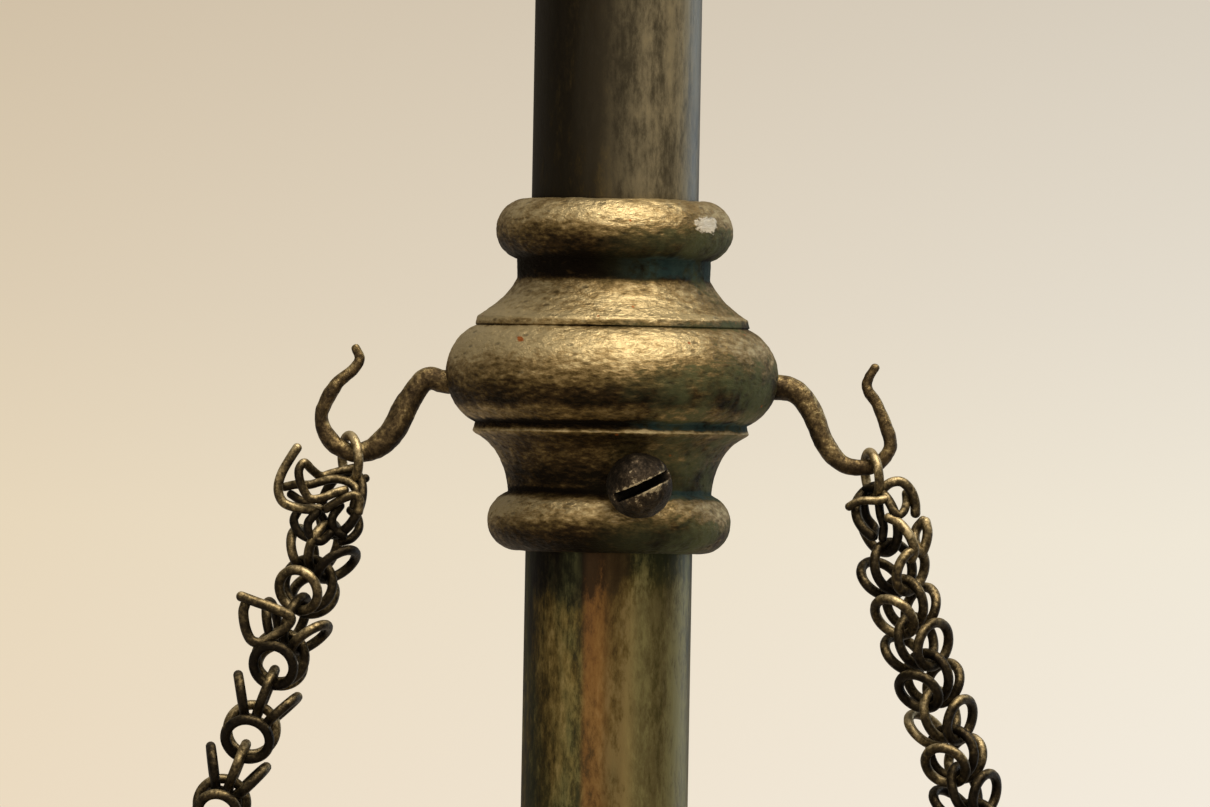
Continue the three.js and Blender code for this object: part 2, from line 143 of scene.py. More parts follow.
def dense(points, step, closed=False):
    """The same outline with no stretch longer than step."""
    points = [np.array(p, float) for p in points]
    pairs = list(zip(points, points[1:] + points[:1]))
    if not closed:
        pairs = pairs[:-1]
    filled = []
    for a, b in pairs:
        count = max(1, math.ceil(np.linalg.norm(b - a) / step))
        filled += [a + (b - a) * i / count for i in range(count)]
    return filled if closed else filled + [points[-1]]


def softened(points, size, closed=False):
    """Cuts each corner of an outline back by size, with a small round between."""
    points = [np.array(p, float) for p in points]
    out = []
    for i, here in enumerate(points):
        if not closed and i in (0, len(points) - 1):
            out.append(here)
            continue
        before, after = points[i - 1], points[(i + 1) % len(points)]
        back = min(size, np.linalg.norm(before - here) * 0.45)
        ahead = min(size, np.linalg.norm(after - here) * 0.45)
        start = here + (before - here) / max(np.linalg.norm(before - here), 1e-9) * back
        end = here + (after - here) / max(np.linalg.norm(after - here), 1e-9) * ahead
        out += [np.array(p) for p in bend(start, here, end, 3)]
    return out


def catmull(points, per_span):
    """A smooth path through points of any dimension."""
    points = [np.array(p, float) for p in points]
    ends = [2 * points[0] - points[1]] + points + [2 * points[-1] - points[-2]]
    out = []
    for i in range(len(points) - 1):
        p0, p1, p2, p3 = ends[i:i + 4]
        for t in np.linspace(0, 1, per_span, endpoint=False):
            out.append(0.5 * (2 * p1 + (p2 - p0) * t + (2 * p0 - 5 * p1 + 4 * p2 - p3) * t * t
                              + (3 * p1 - p0 - 3 * p2 + p3) * t ** 3))
    return out + [points[-1]]


# ---------- mesh making ----------
def new_object(name, vertices, faces):
    """A mesh object from vertices in millimetres."""
    mesh = bpy.data.meshes.new(name)
    mesh.from_pydata([tuple(MM * c for c in v) for v in vertices], [], faces)
    mesh.update()
    obj = bpy.data.objects.new(name, mesh)
    bpy.context.collection.objects.link(obj)
    return obj


def grid_faces(rows, columns, wrap_rows):
    """Quads between the rows of a grid whose columns close into rings."""
    faces = []
    for i in range(rows if wrap_rows else rows - 1):
        j = (i + 1) % rows
        for k in range(columns):
            m = (k + 1) % columns
            faces.append((i * columns + k, i * columns + m, j * columns + m, j * columns + k))
    return faces


def lathe(name, profile, sides, closed=False):
    """A profile of (radius, height) turned about Z, from bottom inside to top by the outside.
    An open profile starts and ends on the axis."""
    profile = [(max(r, 0), z) for r, z in profile]
    inner = profile if closed else profile[1:-1]
    angles = [2 * math.pi * k / sides for k in range(sides)]
    vertices = [(r * math.cos(t), r * math.sin(t), z) for r, z in inner for t in angles]
    faces = grid_faces(len(inner), sides, closed)
    if not closed:
        first, last = len(vertices), len(vertices) + 1
        vertices += [(0, 0, profile[0][1]), (0, 0, profile[-1][1])]
        top = (len(inner) - 1) * sides
        for k in range(sides):
            m = (k + 1) % sides
            faces.append((first, m, k))
            faces.append((last, top + k, top + m))
    return outward(new_object(name, vertices, faces))


def outward(obj):
    """Turns the faces out if the mesh is inside out."""
    mesh = obj.data
    co = coordinates(obj)
    mesh.calc_loop_triangles()
    corners = np.array([t.vertices for t in mesh.loop_triangles])
    a, b, c = co[corners[:, 0]], co[corners[:, 1]], co[corners[:, 2]]
    if np.einsum("ij,ij->i", a, np.cross(b, c)).sum() < 0:
        mesh.flip_normals()
    return obj


def sweep(name, points, radii, sides, closed=False):
    """A round wire along a path, with rounded ends unless it closes on itself."""
    points = [Vector(p) for p in points]
    radii = [float(r) for r in radii] if hasattr(radii, "__len__") else [radii] * len(points)
    if not closed:
        points, radii = rounded_ends(points, radii)
    count = len(points)
    tangents = []
    for i in range(count):
        ahead = points[(i + 1) % count] if closed or i < count - 1 else points[i]
        behind = points[i - 1] if closed or i > 0 else points[i]
        tangents.append((ahead - behind).normalized())
    normal = tangents[0].orthogonal().normalized()
    normals = [normal]
    for i in range(1, count):
        turn = tangents[i - 1].rotation_difference(tangents[i])
        normal = turn @ normal
        normal = (normal - tangents[i] * normal.dot(tangents[i])).normalized()
        normals.append(normal)
    twist = 0
    if closed:
        turn = tangents[-1].rotation_difference(tangents[0])
        carried = turn @ normals[-1]
        twist = carried.angle(normals[0])
        if carried.cross(normals[0]).dot(tangents[0]) < 0:
            twist = -twist
    vertices = []
    for i in range(count):
        share = twist * i / count
        side = Quaternion(tangents[i], share) @ normals[i]
        other = tangents[i].cross(side)
        for k in range(sides):
            t = 2 * math.pi * k / sides
            vertices.append(points[i] + radii[i] * (side * math.cos(t) + other * math.sin(t)))
    faces = grid_faces(count, sides, closed)
    if not closed:
        faces.append(tuple(range(sides)))
        faces.append(tuple(range((count - 1) * sides, count * sides)))
    return outward(new_object(name, vertices, faces))


def rounded_ends(points, radii):
    """Adds points beyond each end of a path that close it in a dome."""
    angles = [math.radians(a) for a in (25, 50, 72, 86)]
    start = (points[0] - points[1]).normalized()
    end = (points[-1] - points[-2]).normalized()
    before = [(points[0] + start * radii[0] * 0.9 * math.sin(a), radii[0] * math.cos(a)) for a in angles]
    after = [(points[-1] + end * radii[-1] * 0.9 * math.sin(a), radii[-1] * math.cos(a)) for a in angles]
    chained = before[::-1] + list(zip(points, radii)) + after
    return [p for p, _ in chained], [r for _, r in chained]


def coordinates(obj):
    co = np.empty(len(obj.data.vertices) * 3)
    obj.data.vertices.foreach_get("co", co)
    return co.reshape(-1, 3)


def set_coordinates(obj, co):
    obj.data.vertices.foreach_set("co", np.ascontiguousarray(co, float).ravel())
    obj.data.update()


def vertex_normals(obj):
    normals = np.empty(len(obj.data.vertices) * 3)
    obj.data.vertex_normals.foreach_get("vector", normals)
    return normals.reshape(-1, 3)


def joined(name, objects):
    """One object from several."""
    vertices, faces = [], []
    for obj in objects:
        start = len(vertices)
        vertices += [tuple(c / MM for c in obj.matrix_world @ v.co) for v in obj.data.vertices]
        faces += [tuple(start + i for i in p.vertices) for p in obj.data.polygons]
        bpy.data.objects.remove(obj)
    return new_object(name, vertices, faces)


def applied(obj):
    """Bakes the object's modifiers into its mesh."""
    graph = bpy.context.evaluated_depsgraph_get()
    mesh = bpy.data.meshes.new_from_object(obj.evaluated_get(graph))
    obj.modifiers.clear()
    obj.data = mesh
    return obj


def cut(obj, *tools):
    """Cuts the tools out of the object."""
    for tool in tools:
        modifier = obj.modifiers.new("cut", "BOOLEAN")
        modifier.operation = "DIFFERENCE"
        modifier.solver = "EXACT"
        modifier.object = tool
    bpy.context.view_layer.update()
    applied(obj)
    for tool in tools:
        bpy.data.objects.remove(tool)
    return obj


def fused(obj, voxel, smoothing=3):
    """Melts touching shells into one skin of even quads and softens its edges."""
    modifier = obj.modifiers.new("skin", "REMESH")
    modifier.mode = "VOXEL"
    modifier.voxel_size = voxel * MM
    soften = obj.modifiers.new("soften", "SMOOTH")
    soften.iterations = smoothing
    soften.factor = 0.5
    return applied(obj)


def roughened(obj, *layers, seed=0):
    """Moves vertices along their normals by layers of (size, depth) noise, in millimetres."""
    co = coordinates(obj)
    normals = vertex_normals(obj)
    shift = np.zeros(len(co))
    for size, depth in layers:
        away = Vector((seed * 7.13 + size, seed * 3.7, seed * 5.1))
        scaled = co / (size * MM)
        shift += depth * np.array([noise.noise(Vector(p) + away) for p in scaled])
    set_coordinates(obj, co + normals * shift[:, None] * MM)
    return obj


def placed(obj, matrix):
    """Applies a matrix, its shift in millimetres, to the object's mesh."""
    move = Matrix(matrix)
    move.translation *= MM
    obj.data.transform(move)
    obj.data.update()
    return obj


def turned_about(axis, degrees):
    return Matrix.Rotation(math.radians(degrees), 4, axis)


def shifted(x=0.0, y=0.0, z=0.0):
    return Matrix.Translation((x, y, z))


def box_tool(name, size, matrix):
    """A box for cutting."""
    x, y, z = (s / 2 for s in size)
    corners = [(sx * x, sy * y, sz * z) for sx in (-1, 1) for sy in (-1, 1) for sz in (-1, 1)]
    faces = [(0, 1, 3, 2), (4, 6, 7, 5), (0, 4, 5, 1), (2, 3, 7, 6), (0, 2, 6, 4), (1, 5, 7, 3)]
    return placed(new_object(name, corners, faces), matrix)


def rod_tool(name, radius, length, matrix, sides=48):
    """A round rod along Z for cutting."""
    profile = [(0, -length / 2), (radius, -length / 2), (radius, length / 2), (0, length / 2)]
    return placed(lathe(name, profile, sides), matrix)


def worn(obj, reach, relief):
    """Stores how proud each vertex stands of its surroundings, 0 in hollows and 1 on edges.
    reach is how far around it looks and relief the height that counts in full, in millimetres."""
    mesh = obj.data
    co = coordinates(obj)
    edges = np.empty(len(mesh.edges) * 2, int)
    mesh.edges.foreach_get("vertices", edges)
    a, b = edges[0::2], edges[1::2]
    spacing = np.linalg.norm(co[a] - co[b], axis=1).mean()
    rounds = int(min(200, max(4, 2 * (reach * MM / spacing) ** 2)))
    degree = np.bincount(np.concatenate([a, b]), minlength=len(co))
    smooth = co.copy()
    for _ in range(rounds):
        total = np.stack([np.bincount(a, smooth[b, i], len(co)) + np.bincount(b, smooth[a, i], len(co))
                          for i in range(3)], 1)
        smooth = 0.5 * smooth + 0.5 * total / degree[:, None]
    proud = np.einsum("ij,ij->i", co - smooth, vertex_normals(obj)) / (relief * MM)
    store(obj, "wear", np.clip(0.5 + 0.5 * proud, 0, 1))
    store(obj, "up", vertex_normals(obj)[:, 2])
    return obj


def store(obj, name, values):
    attribute = obj.data.attributes.get(name) or obj.data.attributes.new(name, "FLOAT", "POINT")
    attribute.data.foreach_set("value", np.ascontiguousarray(values, np.float32))


def tinted(obj, tint):
    """Stores a wire's tint, one value or one per vertex, and how far up each vertex faces."""
    store(obj, "tint", np.broadcast_to(tint, len(obj.data.vertices)))
    store(obj, "up", vertex_normals(obj)[:, 2])
    return obj


def finish_piece(obj, body, slot, stands_for=(), sharp=50, skin=None):
    """Shades a piece, gives it its own skin or its slot's, and ties it to the frame."""
    obj.data.materials.clear()
    obj.data.materials.append(skin or SKINS[slot])
    obj.data.shade_smooth()
    obj.data.set_sharp_from_angle(angle=math.radians(sharp))
    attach(obj, body)
    if stands_for:
        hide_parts(*stands_for)
    return obj


# ---------- materials ----------
def colour_ramp(nodes, stops):
    """A colour ramp node through (position, colour) stops."""
    made = nodes.new("ShaderNodeValToRGB")
    elements = made.color_ramp.elements
    while len(elements) < len(stops):
        elements.new(0.5)
    for element, (position, colour) in zip(elements, stops):
        element.position = position
        element.color = (*colour, 1)
    return made


class Shader:
    """A material's nodes, written as nested calls. Sizes are in millimetres in the row frame."""

    def __init__(self, name, metallic, roughness):
        self.material = bpy.data.materials.new(name)
        self.material.use_nodes = True
        self.tree = self.material.node_tree
        self.surface = self.tree.nodes["Principled BSDF"]
        self.surface.inputs["Metallic"].default_value = metallic
        self.surface.inputs["Roughness"].default_value = roughness
        self.place = self.node("ShaderNodeTexCoord").outputs["Object"]
        split = self.node("ShaderNodeSeparateXYZ")
        self.tree.links.new(self.place, split.inputs[0])
        self.x, self.y, self.z = (self.times(split.outputs[i], 1 / MM) for i in range(3))

    def node(self, kind, **settings):
        made = self.tree.nodes.new(kind)
        for key, value in settings.items():
            setattr(made, key, value)
        return made

    def feed(self, socket, value):
        """Links a socket to another, or sets it to a plain value."""
        if isinstance(value, bpy.types.NodeSocket):
            self.tree.links.new(value, socket)
        elif hasattr(value, "__len__") and len(value) == 3 and socket.type == "RGBA":
            socket.default_value = (*value, 1)
        else:
            socket.default_value = value

    def calc(self, operation, a, b=0.0):
        made = self.node("ShaderNodeMath", operation=operation)
        self.feed(made.inputs[0], a)
        self.feed(made.inputs[1], b)
        return made.outputs[0]

    def times(self, *factors):
        return functools.reduce(lambda a, b: self.calc("MULTIPLY", a, b), factors)

    def plus(self, *terms):
        return functools.reduce(lambda a, b: self.calc("ADD", a, b), terms)

    def minus(self, a, b):
        return self.calc("SUBTRACT", a, b)

    def level(self, *parts):
        """0.5, plus how far each value lies from 0.5 times its weight."""
        total = 0.5
        for value, weight in parts:
            total = self.plus(total, self.times(self.minus(value, 0.5), weight))
        return total

    def fade(self, value, low, high):
        """0 below low, 1 above high, eased between; low may be the larger."""
        made = self.node("ShaderNodeMapRange", interpolation_type="SMOOTHSTEP")
        self.feed(made.inputs["Value"], value)
        self.feed(made.inputs["From Min"], low)
        self.feed(made.inputs["From Max"], high)
        return made.outputs["Result"]

    def mapped(self, stretch, offset):
        made = self.node("ShaderNodeMapping")
        self.feed(made.inputs["Vector"], self.place)
        made.inputs["Location"].default_value = offset
        made.inputs["Scale"].default_value = [1 / s for s in stretch]
        return made.outputs["Vector"]

    def noise(self, size, detail=3.0, rough=0.6, stretch=(1, 1, 1), warp=0.0, offset=(0, 0, 0)):
        """Cloudy noise from 0 to 1 whose blotches are about size across."""
        made = self.node("ShaderNodeTexNoise")
        self.feed(made.inputs["Vector"], self.mapped(stretch, offset))
        made.inputs["Scale"].default_value = 0.5 / (size * MM)
        made.inputs["Detail"].default_value = detail
        made.inputs["Roughness"].default_value = rough
        made.inputs["Distortion"].default_value = warp
        return made.outputs["Fac"]

    def waver(self, reach, *size, **kinds):
        """Noise that swings to either side of 0, reach from end to end."""
        return self.times(self.minus(self.noise(*size, **kinds), 0.5), reach)

    def cells(self, size, stretch=(1, 1, 1), offset=(0, 0, 0)):
        """Distance to the nearest of points that lie about size apart."""
        made = self.node("ShaderNodeTexVoronoi")
        self.feed(made.inputs["Vector"], self.mapped(stretch, offset))
        made.inputs["Scale"].default_value = 1 / (size * MM)
        return made.outputs["Distance"]

    def stored(self, name):
        return self.node("ShaderNodeAttribute", attribute_name=name).outputs["Fac"]

    def ramp(self, value, *stops):
        made = colour_ramp(self.tree.nodes, stops)
        self.feed(made.inputs["Fac"], value)
        return made.outputs["Color"]

    def mix(self, share, a, b):
        made = self.node("ShaderNodeMix", data_type="RGBA")
        self.feed(made.inputs[0], share)
        self.feed(made.inputs[6], a)
        self.feed(made.inputs[7], b)
        return made.outputs[2]

    def stained(self, base, colour, *shares):
        """The base colour under a stain that is as strong as its shares' product."""
        return self.mix(self.times(*shares), base, colour)

    def bump(self, *layers):
        """Adds layers of (height, depth): depth in millimetres for a height of 1."""
        normal = None
        for height, depth in layers:
            made = self.node("ShaderNodeBump")
            made.inputs["Strength"].default_value = 1
            made.inputs["Distance"].default_value = depth * MM
            self.feed(made.inputs["Height"], height)
            if normal:
                self.feed(made.inputs["Normal"], normal)
            normal = made.outputs["Normal"]
        self.feed(self.surface.inputs["Normal"], normal)

    def finished(self, colour, roughness, *bumps):
        """The material, with its colour, its roughness (None leaves it) and layers of bump."""
        self.feed(self.surface.inputs["Base Color"], colour)
        if roughness is not None:
            self.feed(self.surface.inputs["Roughness"], roughness)
        if bumps:
            self.bump(*bumps)
        return self.material


# Stains of old brass, and the colour of a painted reflection of a pale blue sky.
VERDIGRIS = (0.090, 0.108, 0.042)
TEAL = (0.012, 0.046, 0.048)
RUST = (0.40, 0.10, 0.015)
PIT_BLACK = (0.012, 0.009, 0.005)
PAINTED_SKY_REFLECTION = (0.13, 0.17, 0.21)
REDDISH_BROWN = (0.11, 0.068, 0.028)

# Painted shade in the collar's hollows and under its flanges: the height of each band below the collar's top,
# its half width and how black it is painted.
COLLAR_SHADE_BANDS = [(-7.8, 1.3, 0.95), (-14.05, 0.45, 0.5), (-19.5, 2, 0.25), (-22, 1.6, 0.25),
                (-25.7, 0.5, 0.95), (-32.4, 1.5, 0.3), (-33.4, 0.6, 0.9)]
# Edges and slopes that hands have polished, and along the bulge's lower rim (the first band) a painted warm
# reflection, in the same terms.
COLLAR_RUBBED_AND_SHEEN = [(-24.4, 0.9, 0.7), (-28.2, 1.9, 0.45), (-13.4, 0.5, 0.25), (-12, 1.6, 0.15)]
# Small marks on the collar's front: across, below the collar's top, radius, colour.
COLLAR_SPOTS = [(10.5, -2.7, 0.9, (0.85, 0.79, 0.66)), (-10.4, -16.1, 0.3, (0.5, 0.13, 0.02))]


def cast_brass(name="cast_brass", shade_bands=(), rubbed=(), spots=()):
    """Old sand-cast brass: gold where it is rubbed, olive on the flats, dark and green in the hollows;
    painted lighter on faces turned up and darker on faces turned down, with painted shade and a painted warm
    reflection on the collar.
    """
    s = Shader(name, 0.9, 0.5)
    level_grain = (2.6, 2.6, 1)
    wear = s.stored("wear")
    broad = s.noise(9, 4, 0.6, stretch=(1.6, 1.6, 1))
    patch = s.noise(2.2, 5, 0.7, stretch=(2.4, 2.4, 1), warp=0.4)
    grain = s.noise(0.26, 3, 0.75, stretch=level_grain)
    # Painted light and shade: faces turned up are painted lighter and faces turned down darker.
    above = s.fade(s.stored("up"), -0.6, 0.5)
    height = s.plus(s.minus(s.z, COLLAR_TOP), s.waver(1.3, 3, 4, 0.7))

    def bands(listed):
        total = 0.0
        for middle, half, depth in listed:
            distance = s.calc("ABSOLUTE", s.minus(height, middle))
            total = s.calc("MAXIMUM", total, s.times(s.fade(distance, half * 1.5, half * 0.4), depth))
        return total

    # Bands of painted shade in the collar's hollows and under its flanges; the teal patina gathers in the
    # same hollows.
    hollow_shade, bright = bands(shade_bands), bands(rubbed)
    level = s.level((wear, 0.9), (patch, 0.75), (grain, 1.0), (broad, 0.9), (above, 0.62))
    # The rubbed bands lighten polished edges and paint a warm reflection on the bulge's lower rim; the shade
    # bands paint the hollows darker.
    level = s.plus(s.minus(level, 0.03), s.times(s.minus(bright, s.times(hollow_shade, 1.3)), 0.42))
    base = s.ramp(level,
                  (0.12, (0.009, 0.006, 0.003)), (0.34, (0.042, 0.026, 0.010)),
                  (0.54, (0.130, 0.090, 0.034)), (0.76, (0.31, 0.228, 0.105)), (0.98, (0.58, 0.475, 0.265)))
    to_right = s.fade(s.x, -4, 12)
    green_patch = s.fade(s.noise(5, 4, 0.7, offset=(3, 1, 2)), 0.4, 0.6)
    green = s.times(green_patch, to_right, s.fade(level, 0.75, 0.5))
    base = s.stained(base, VERDIGRIS, green, 0.75)
    teal_patch = s.fade(s.noise(1.8, 4, 0.7, offset=(8, 5, 2)), 0.36, 0.56)
    teal = s.times(teal_patch, s.fade(s.x, -1, 5), s.fade(hollow_shade, 0.3, 0.8))
    base = s.stained(base, TEAL, teal, 0.8)
    base = s.stained(base, RUST, s.fade(s.cells(3.4), 0.07, 0.03), 0.8)
    pits = s.fade(s.cells(0.95, stretch=level_grain, offset=(5, 2, 1)), 0.26, 0.08)
    base = s.stained(base, PIT_BLACK, pits, 0.45)
    front = s.fade(s.y, -1, -3)
    ragged = s.waver(3, 0.8, 4, 0.75, stretch=(1.4, 1.4, 1))
    for x, below, radius, colour in spots:
        away_x, away_z = s.minus(s.x, x), s.minus(s.minus(s.z, COLLAR_TOP), below)
        distance = s.calc("SQRT", s.plus(s.times(away_x, away_x, 0.5), s.times(away_z, away_z)))
        spot = s.fade(s.plus(distance, s.times(ragged, radius * 1.3)), radius, radius * 0.6)
        base = s.stained(base, colour, spot, front, 0.9)
    dull = s.plus(s.times(level, -0.2), 0.66, s.times(s.plus(green, hollow_shade), 0.15))
    s.feed(s.surface.inputs["Metallic"], s.minus(0.92, s.times(s.plus(green, teal), 0.5)))
    return s.finished(base, dull, (s.noise(0.36, 4, 0.75, stretch=level_grain), 0.3), (pits, -0.06))


def tube_brass():
    """A drawn tube gone dark olive-brown, mottled in stretched blotches, with rubbed and reddened streaks;
    painted shade under the collar and on its left, painted light on its right and front, and a painted sky
    reflection on its right edge.
    """
    s = Shader("tube_brass", 0.9, 0.42)
    streaks = s.noise(1.5, 4, 0.6, stretch=(1, 1, 9))
    blotch = s.noise(6, 5, 0.66, stretch=(1, 1, 1.9), warp=0.8)
    fine = s.noise(0.4, 4, 0.78, stretch=(1, 1, 2.4))
    foot = COLLAR_TOP - COLLAR_HEIGHT
    below = s.fade(s.z, COLLAR_TOP - 10, foot)
    waver = s.waver(9, 7, 3, 0.6, stretch=(1, 1, 2), offset=(2, 6, 1))
    # Painted shade: the tube is painted darker for a few millimetres under the collar's foot and lighter
    # further down.
    lit = s.fade(s.plus(s.z, waver), foot - 1, foot - 7)
    # Painted shade on the tube's left side and painted light on its right side, below the collar.
    left = s.times(s.fade(s.x, 0, -3), below)
    right = s.times(s.fade(s.x, -1, 3), below)
    above = s.minus(1.0, below)
    level = s.minus(s.level((streaks, 1.0), (blotch, 1.2), (fine, 1.1), (lit, 0.6)), 0.1)
    # Painted shade on the left, painted light on the right and on the whole tube above the collar.
    level = s.plus(level, s.times(left, -0.18), s.times(right, 0.42), s.times(above, 0.2))
    base = s.ramp(level,
                  (0.16, (0.008, 0.006, 0.004)), (0.4, (0.032, 0.026, 0.013)),
                  (0.6, (0.092, 0.066, 0.020)), (0.8, (0.22, 0.160, 0.052)), (1.0, (0.38, 0.29, 0.12)))
    ahead = s.fade(s.plus(s.y, s.times(waver, 0.4)), 2, -2.5)
    # Painted light and shade above the collar: pale on the tube's front and right, dark on its left and back,
    # under patches of dark patina.
    grey = s.mix(s.times(s.fade(s.x, -3, 6), ahead), (0.018, 0.014, 0.009), (0.52, 0.45, 0.29))
    bare = s.fade(s.level((streaks, 1.6), (blotch, 0.8), (fine, 0.8)), 0.2, 0.7)
    grey = s.mix(s.times(s.minus(1.0, bare), 0.75), grey, (0.040, 0.034, 0.022))
    base = s.stained(base, grey, above, 0.72)
    green = s.times(below, s.fade(s.noise(6, 4, 0.65, stretch=(1, 1, 3), offset=(4, 2, 7)), 0.42, 0.6))
    green = s.calc("MAXIMUM", green, s.times(below, s.fade(s.x, 1.5, 4)))
    bloom = s.fade(s.level((streaks, 1.4), (fine, 1.3)), 0.35, 0.75)
    leaf = s.mix(bloom, (0.044, 0.055, 0.024), (0.20, 0.215, 0.095))
    base = s.stained(base, leaf, green, 0.6)
    across = s.plus(s.x, 1.3, s.waver(2.5, 12, 2, 0.5, stretch=(1, 1, 4), offset=(9, 0, 0)))
    front = s.fade(s.y, -4, -8)
    red = s.times(s.fade(across, -1.9, -0.9), s.fade(across, 2.6, 0.5), front, below)
    mottle = s.level((streaks, 1.6), (fine, 1.6), (lit, 0.6))
    copper = s.mix(s.fade(mottle, 0.3, 0.9), (0.060, 0.034, 0.015), (0.27, 0.125, 0.040))
    base = s.stained(base, copper, red, 0.6)
    brown = s.times(s.fade(across, 0.6, 1.4), s.fade(across, 4.2, 3), front, below)
    base = s.stained(base, REDDISH_BROWN, brown, 0.4)
    # A painted reflection of a pale blue sky along the tube's right edge, strongest above the collar.
    sky_reflection = s.times(s.fade(s.x, 7, 9.3), s.fade(s.noise(5, 3, 0.6, stretch=(1, 1, 4)), 0.2, 0.5))
    base = s.stained(base, PAINTED_SKY_REFLECTION, sky_reflection, ahead, s.minus(1.0, s.times(below, 0.7)), 0.6)
    return s.finished(base, s.plus(0.34, s.times(fine, 0.3)), (fine, 0.04), (streaks, 0.03))


def pan_brass():
    """Spun brass sheet with rings from the tool, dulled and finely scratched."""
    s = Shader("pan_brass", 0.95, 0.35)
    radius = s.calc("SQRT", s.plus(s.times(s.x, s.x), s.times(s.y, s.y)))
    rings = s.calc("SINE", s.plus(s.times(radius, 4.2), s.times(s.noise(30, 2), 3)))
    tarnish = s.noise(22, 5, 0.62, warp=0.7)
    stain = s.noise(5, 5, 0.7)
    level = s.plus(s.times(tarnish, 0.7), s.times(stain, 0.3))
    base = s.ramp(level,
                  (0.3, (0.10, 0.07, 0.03)), (0.48, (0.32, 0.24, 0.10)),
                  (0.62, (0.52, 0.41, 0.18)), (0.8, (0.66, 0.55, 0.28)))
    base = s.stained(base, (0.05, 0.04, 0.02), s.fade(s.cells(6), 0.1, 0.04), 0.7)
    scuffs = s.noise(1.2, 4, 0.7)
    return s.finished(base, s.plus(0.24, s.times(level, 0.26)), (rings, 0.012), (scuffs, 0.03))


def hook_bronze():
    """Forged wire with a dark, lumpy bronze skin, gold where it is rubbed, painted lighter on top and darker
    underneath.
    """
    s = Shader("hook_bronze", 0.85, 0.5)
    wear = s.stored("wear")
    patch = s.noise(1.4, 5, 0.72, warp=0.5)
    grain = s.noise(0.3, 3, 0.75)
    # Painted light and shade: faces turned up are painted lighter and faces turned down darker.
    above = s.fade(s.stored("up"), -0.7, 0.8)
    level = s.level((wear, 0.4), (patch, 1.3), (grain, 0.9), (above, 0.4))
    base = s.ramp(level,
                  (0.2, (0.008, 0.005, 0.003)), (0.5, (0.036, 0.024, 0.012)),
                  (0.72, (0.10, 0.070, 0.033)), (0.88, (0.24, 0.175, 0.08)), (1.0, (0.45, 0.36, 0.18)))
    return s.finished(base, s.plus(0.66, s.times(level, -0.22)), (s.noise(0.4, 4, 0.75), 0.2))


def chain_wire():
    """Brass wire gone umber, each ring a little different, with drawn lines and pale rubbed spots, painted
    lighter on top and darker underneath.
    """
    s = Shader("chain_wire", 0.9, 0.42)
    tint = s.stored("tint")
    patch = s.noise(1.3, 4, 0.68)
    grain = s.noise(0.26, 3, 0.75)
    # Painted light and shade: faces turned up are painted lighter and faces turned down darker.
    above = s.fade(s.stored("up"), -0.6, 0.8)
    level = s.level((tint, 0.5), (patch, 1.0), (grain, 1.0), (above, 0.5))
    base = s.ramp(level,
                  (0.15, (0.008, 0.006, 0.004)), (0.46, (0.032, 0.024, 0.013)),
                  (0.68, (0.115, 0.088, 0.045)), (0.86, (0.32, 0.25, 0.13)), (1.0, (0.6, 0.5, 0.3)))
    return s.finished(base, s.plus(0.34, s.times(grain, 0.3)), (grain, 0.08))


def screw_steel():
    """Dull old steel with a brown skin, pitted, bright on the driver's edges, painted lighter on top and
    darker underneath.
    """
    s = Shader("screw_steel", 0.85, 0.5)
    wear = s.stored("wear")
    patch = s.noise(1.2, 5, 0.72, warp=0.4)
    grain = s.noise(0.28, 3, 0.75)
    # Painted light and shade: faces turned up are painted lighter and faces turned down darker.
    above = s.fade(s.stored("up"), -0.6, 0.9)
    level = s.level((wear, 0.9), (patch, 0.8), (grain, 1.0), (above, 0.45))
    level = s.minus(level, 0.1)
    base = s.ramp(level,
                  (0.25, (0.004, 0.003, 0.002)), (0.62, (0.015, 0.011, 0.007)),
                  (0.86, (0.050, 0.037, 0.024)), (0.95, (0.16, 0.125, 0.08)), (1.0, (0.4, 0.34, 0.22)))
    return s.finished(base, s.plus(0.68, s.times(level, -0.22)), (s.noise(0.36, 4, 0.75), 0.2))


def spring_steel():
    """Oiled spring wire, grey with a brown bloom."""
    s = Shader("spring_steel", 1, 0.3)
    bloom = s.fade(s.noise(3, 4, 0.6), 0.45, 0.7)
    base = s.mix(bloom, (0.33, 0.33, 0.35), (0.14, 0.10, 0.07))
    lines = s.noise(0.3, 3, 0.6, stretch=(1, 1, 4))
    return s.finished(base, s.plus(0.25, s.times(bloom, 0.3)), (lines, 0.02))


def mark_filler():
    """Black wax in the scale's engraved lines."""
    s = Shader("mark_filler", 0, 0.6)
    base = s.mix(s.noise(0.8, 4, 0.7), (0.012, 0.010, 0.008), (0.05, 0.042, 0.03))
    return s.finished(base, None, (s.noise(0.3, 3, 0.6), 0.02))


def floor_paint():
    """Matt cream paint that glows a little, so the floor stays pale."""
    s = Shader("floor_paint", 0, 0.75)
    paint = s.mix(s.noise(900, 3), (0.80, 0.74, 0.64), (0.84, 0.78, 0.69))
    s.feed(s.surface.inputs["Emission Color"], paint)
    s.surface.inputs["Emission Strength"].default_value = 0.2
    return s.finished(paint, None)


COLLAR_SKIN = cast_brass("collar_brass", COLLAR_SHADE_BANDS, COLLAR_RUBBED_AND_SHEEN, COLLAR_SPOTS)
WAX = mark_filler()
# The frame's slots are named after these functions.
SKINS = {make.__name__: make() for make in (cast_brass, tube_brass, pan_brass, hook_bronze, chain_wire,
                                            screw_steel, spring_steel)}


# ---------- suspension ring and swivel ----------
RING_CENTRE = -(RING["mean"] - RING["wire"])
RING_FOOT = RING_CENTRE - RING["mean"]


def circle(mean, count):
    angles = [2 * math.pi * i / count for i in range(count)]
    return [(mean * math.cos(t), 0, mean * math.sin(t)) for t in angles]


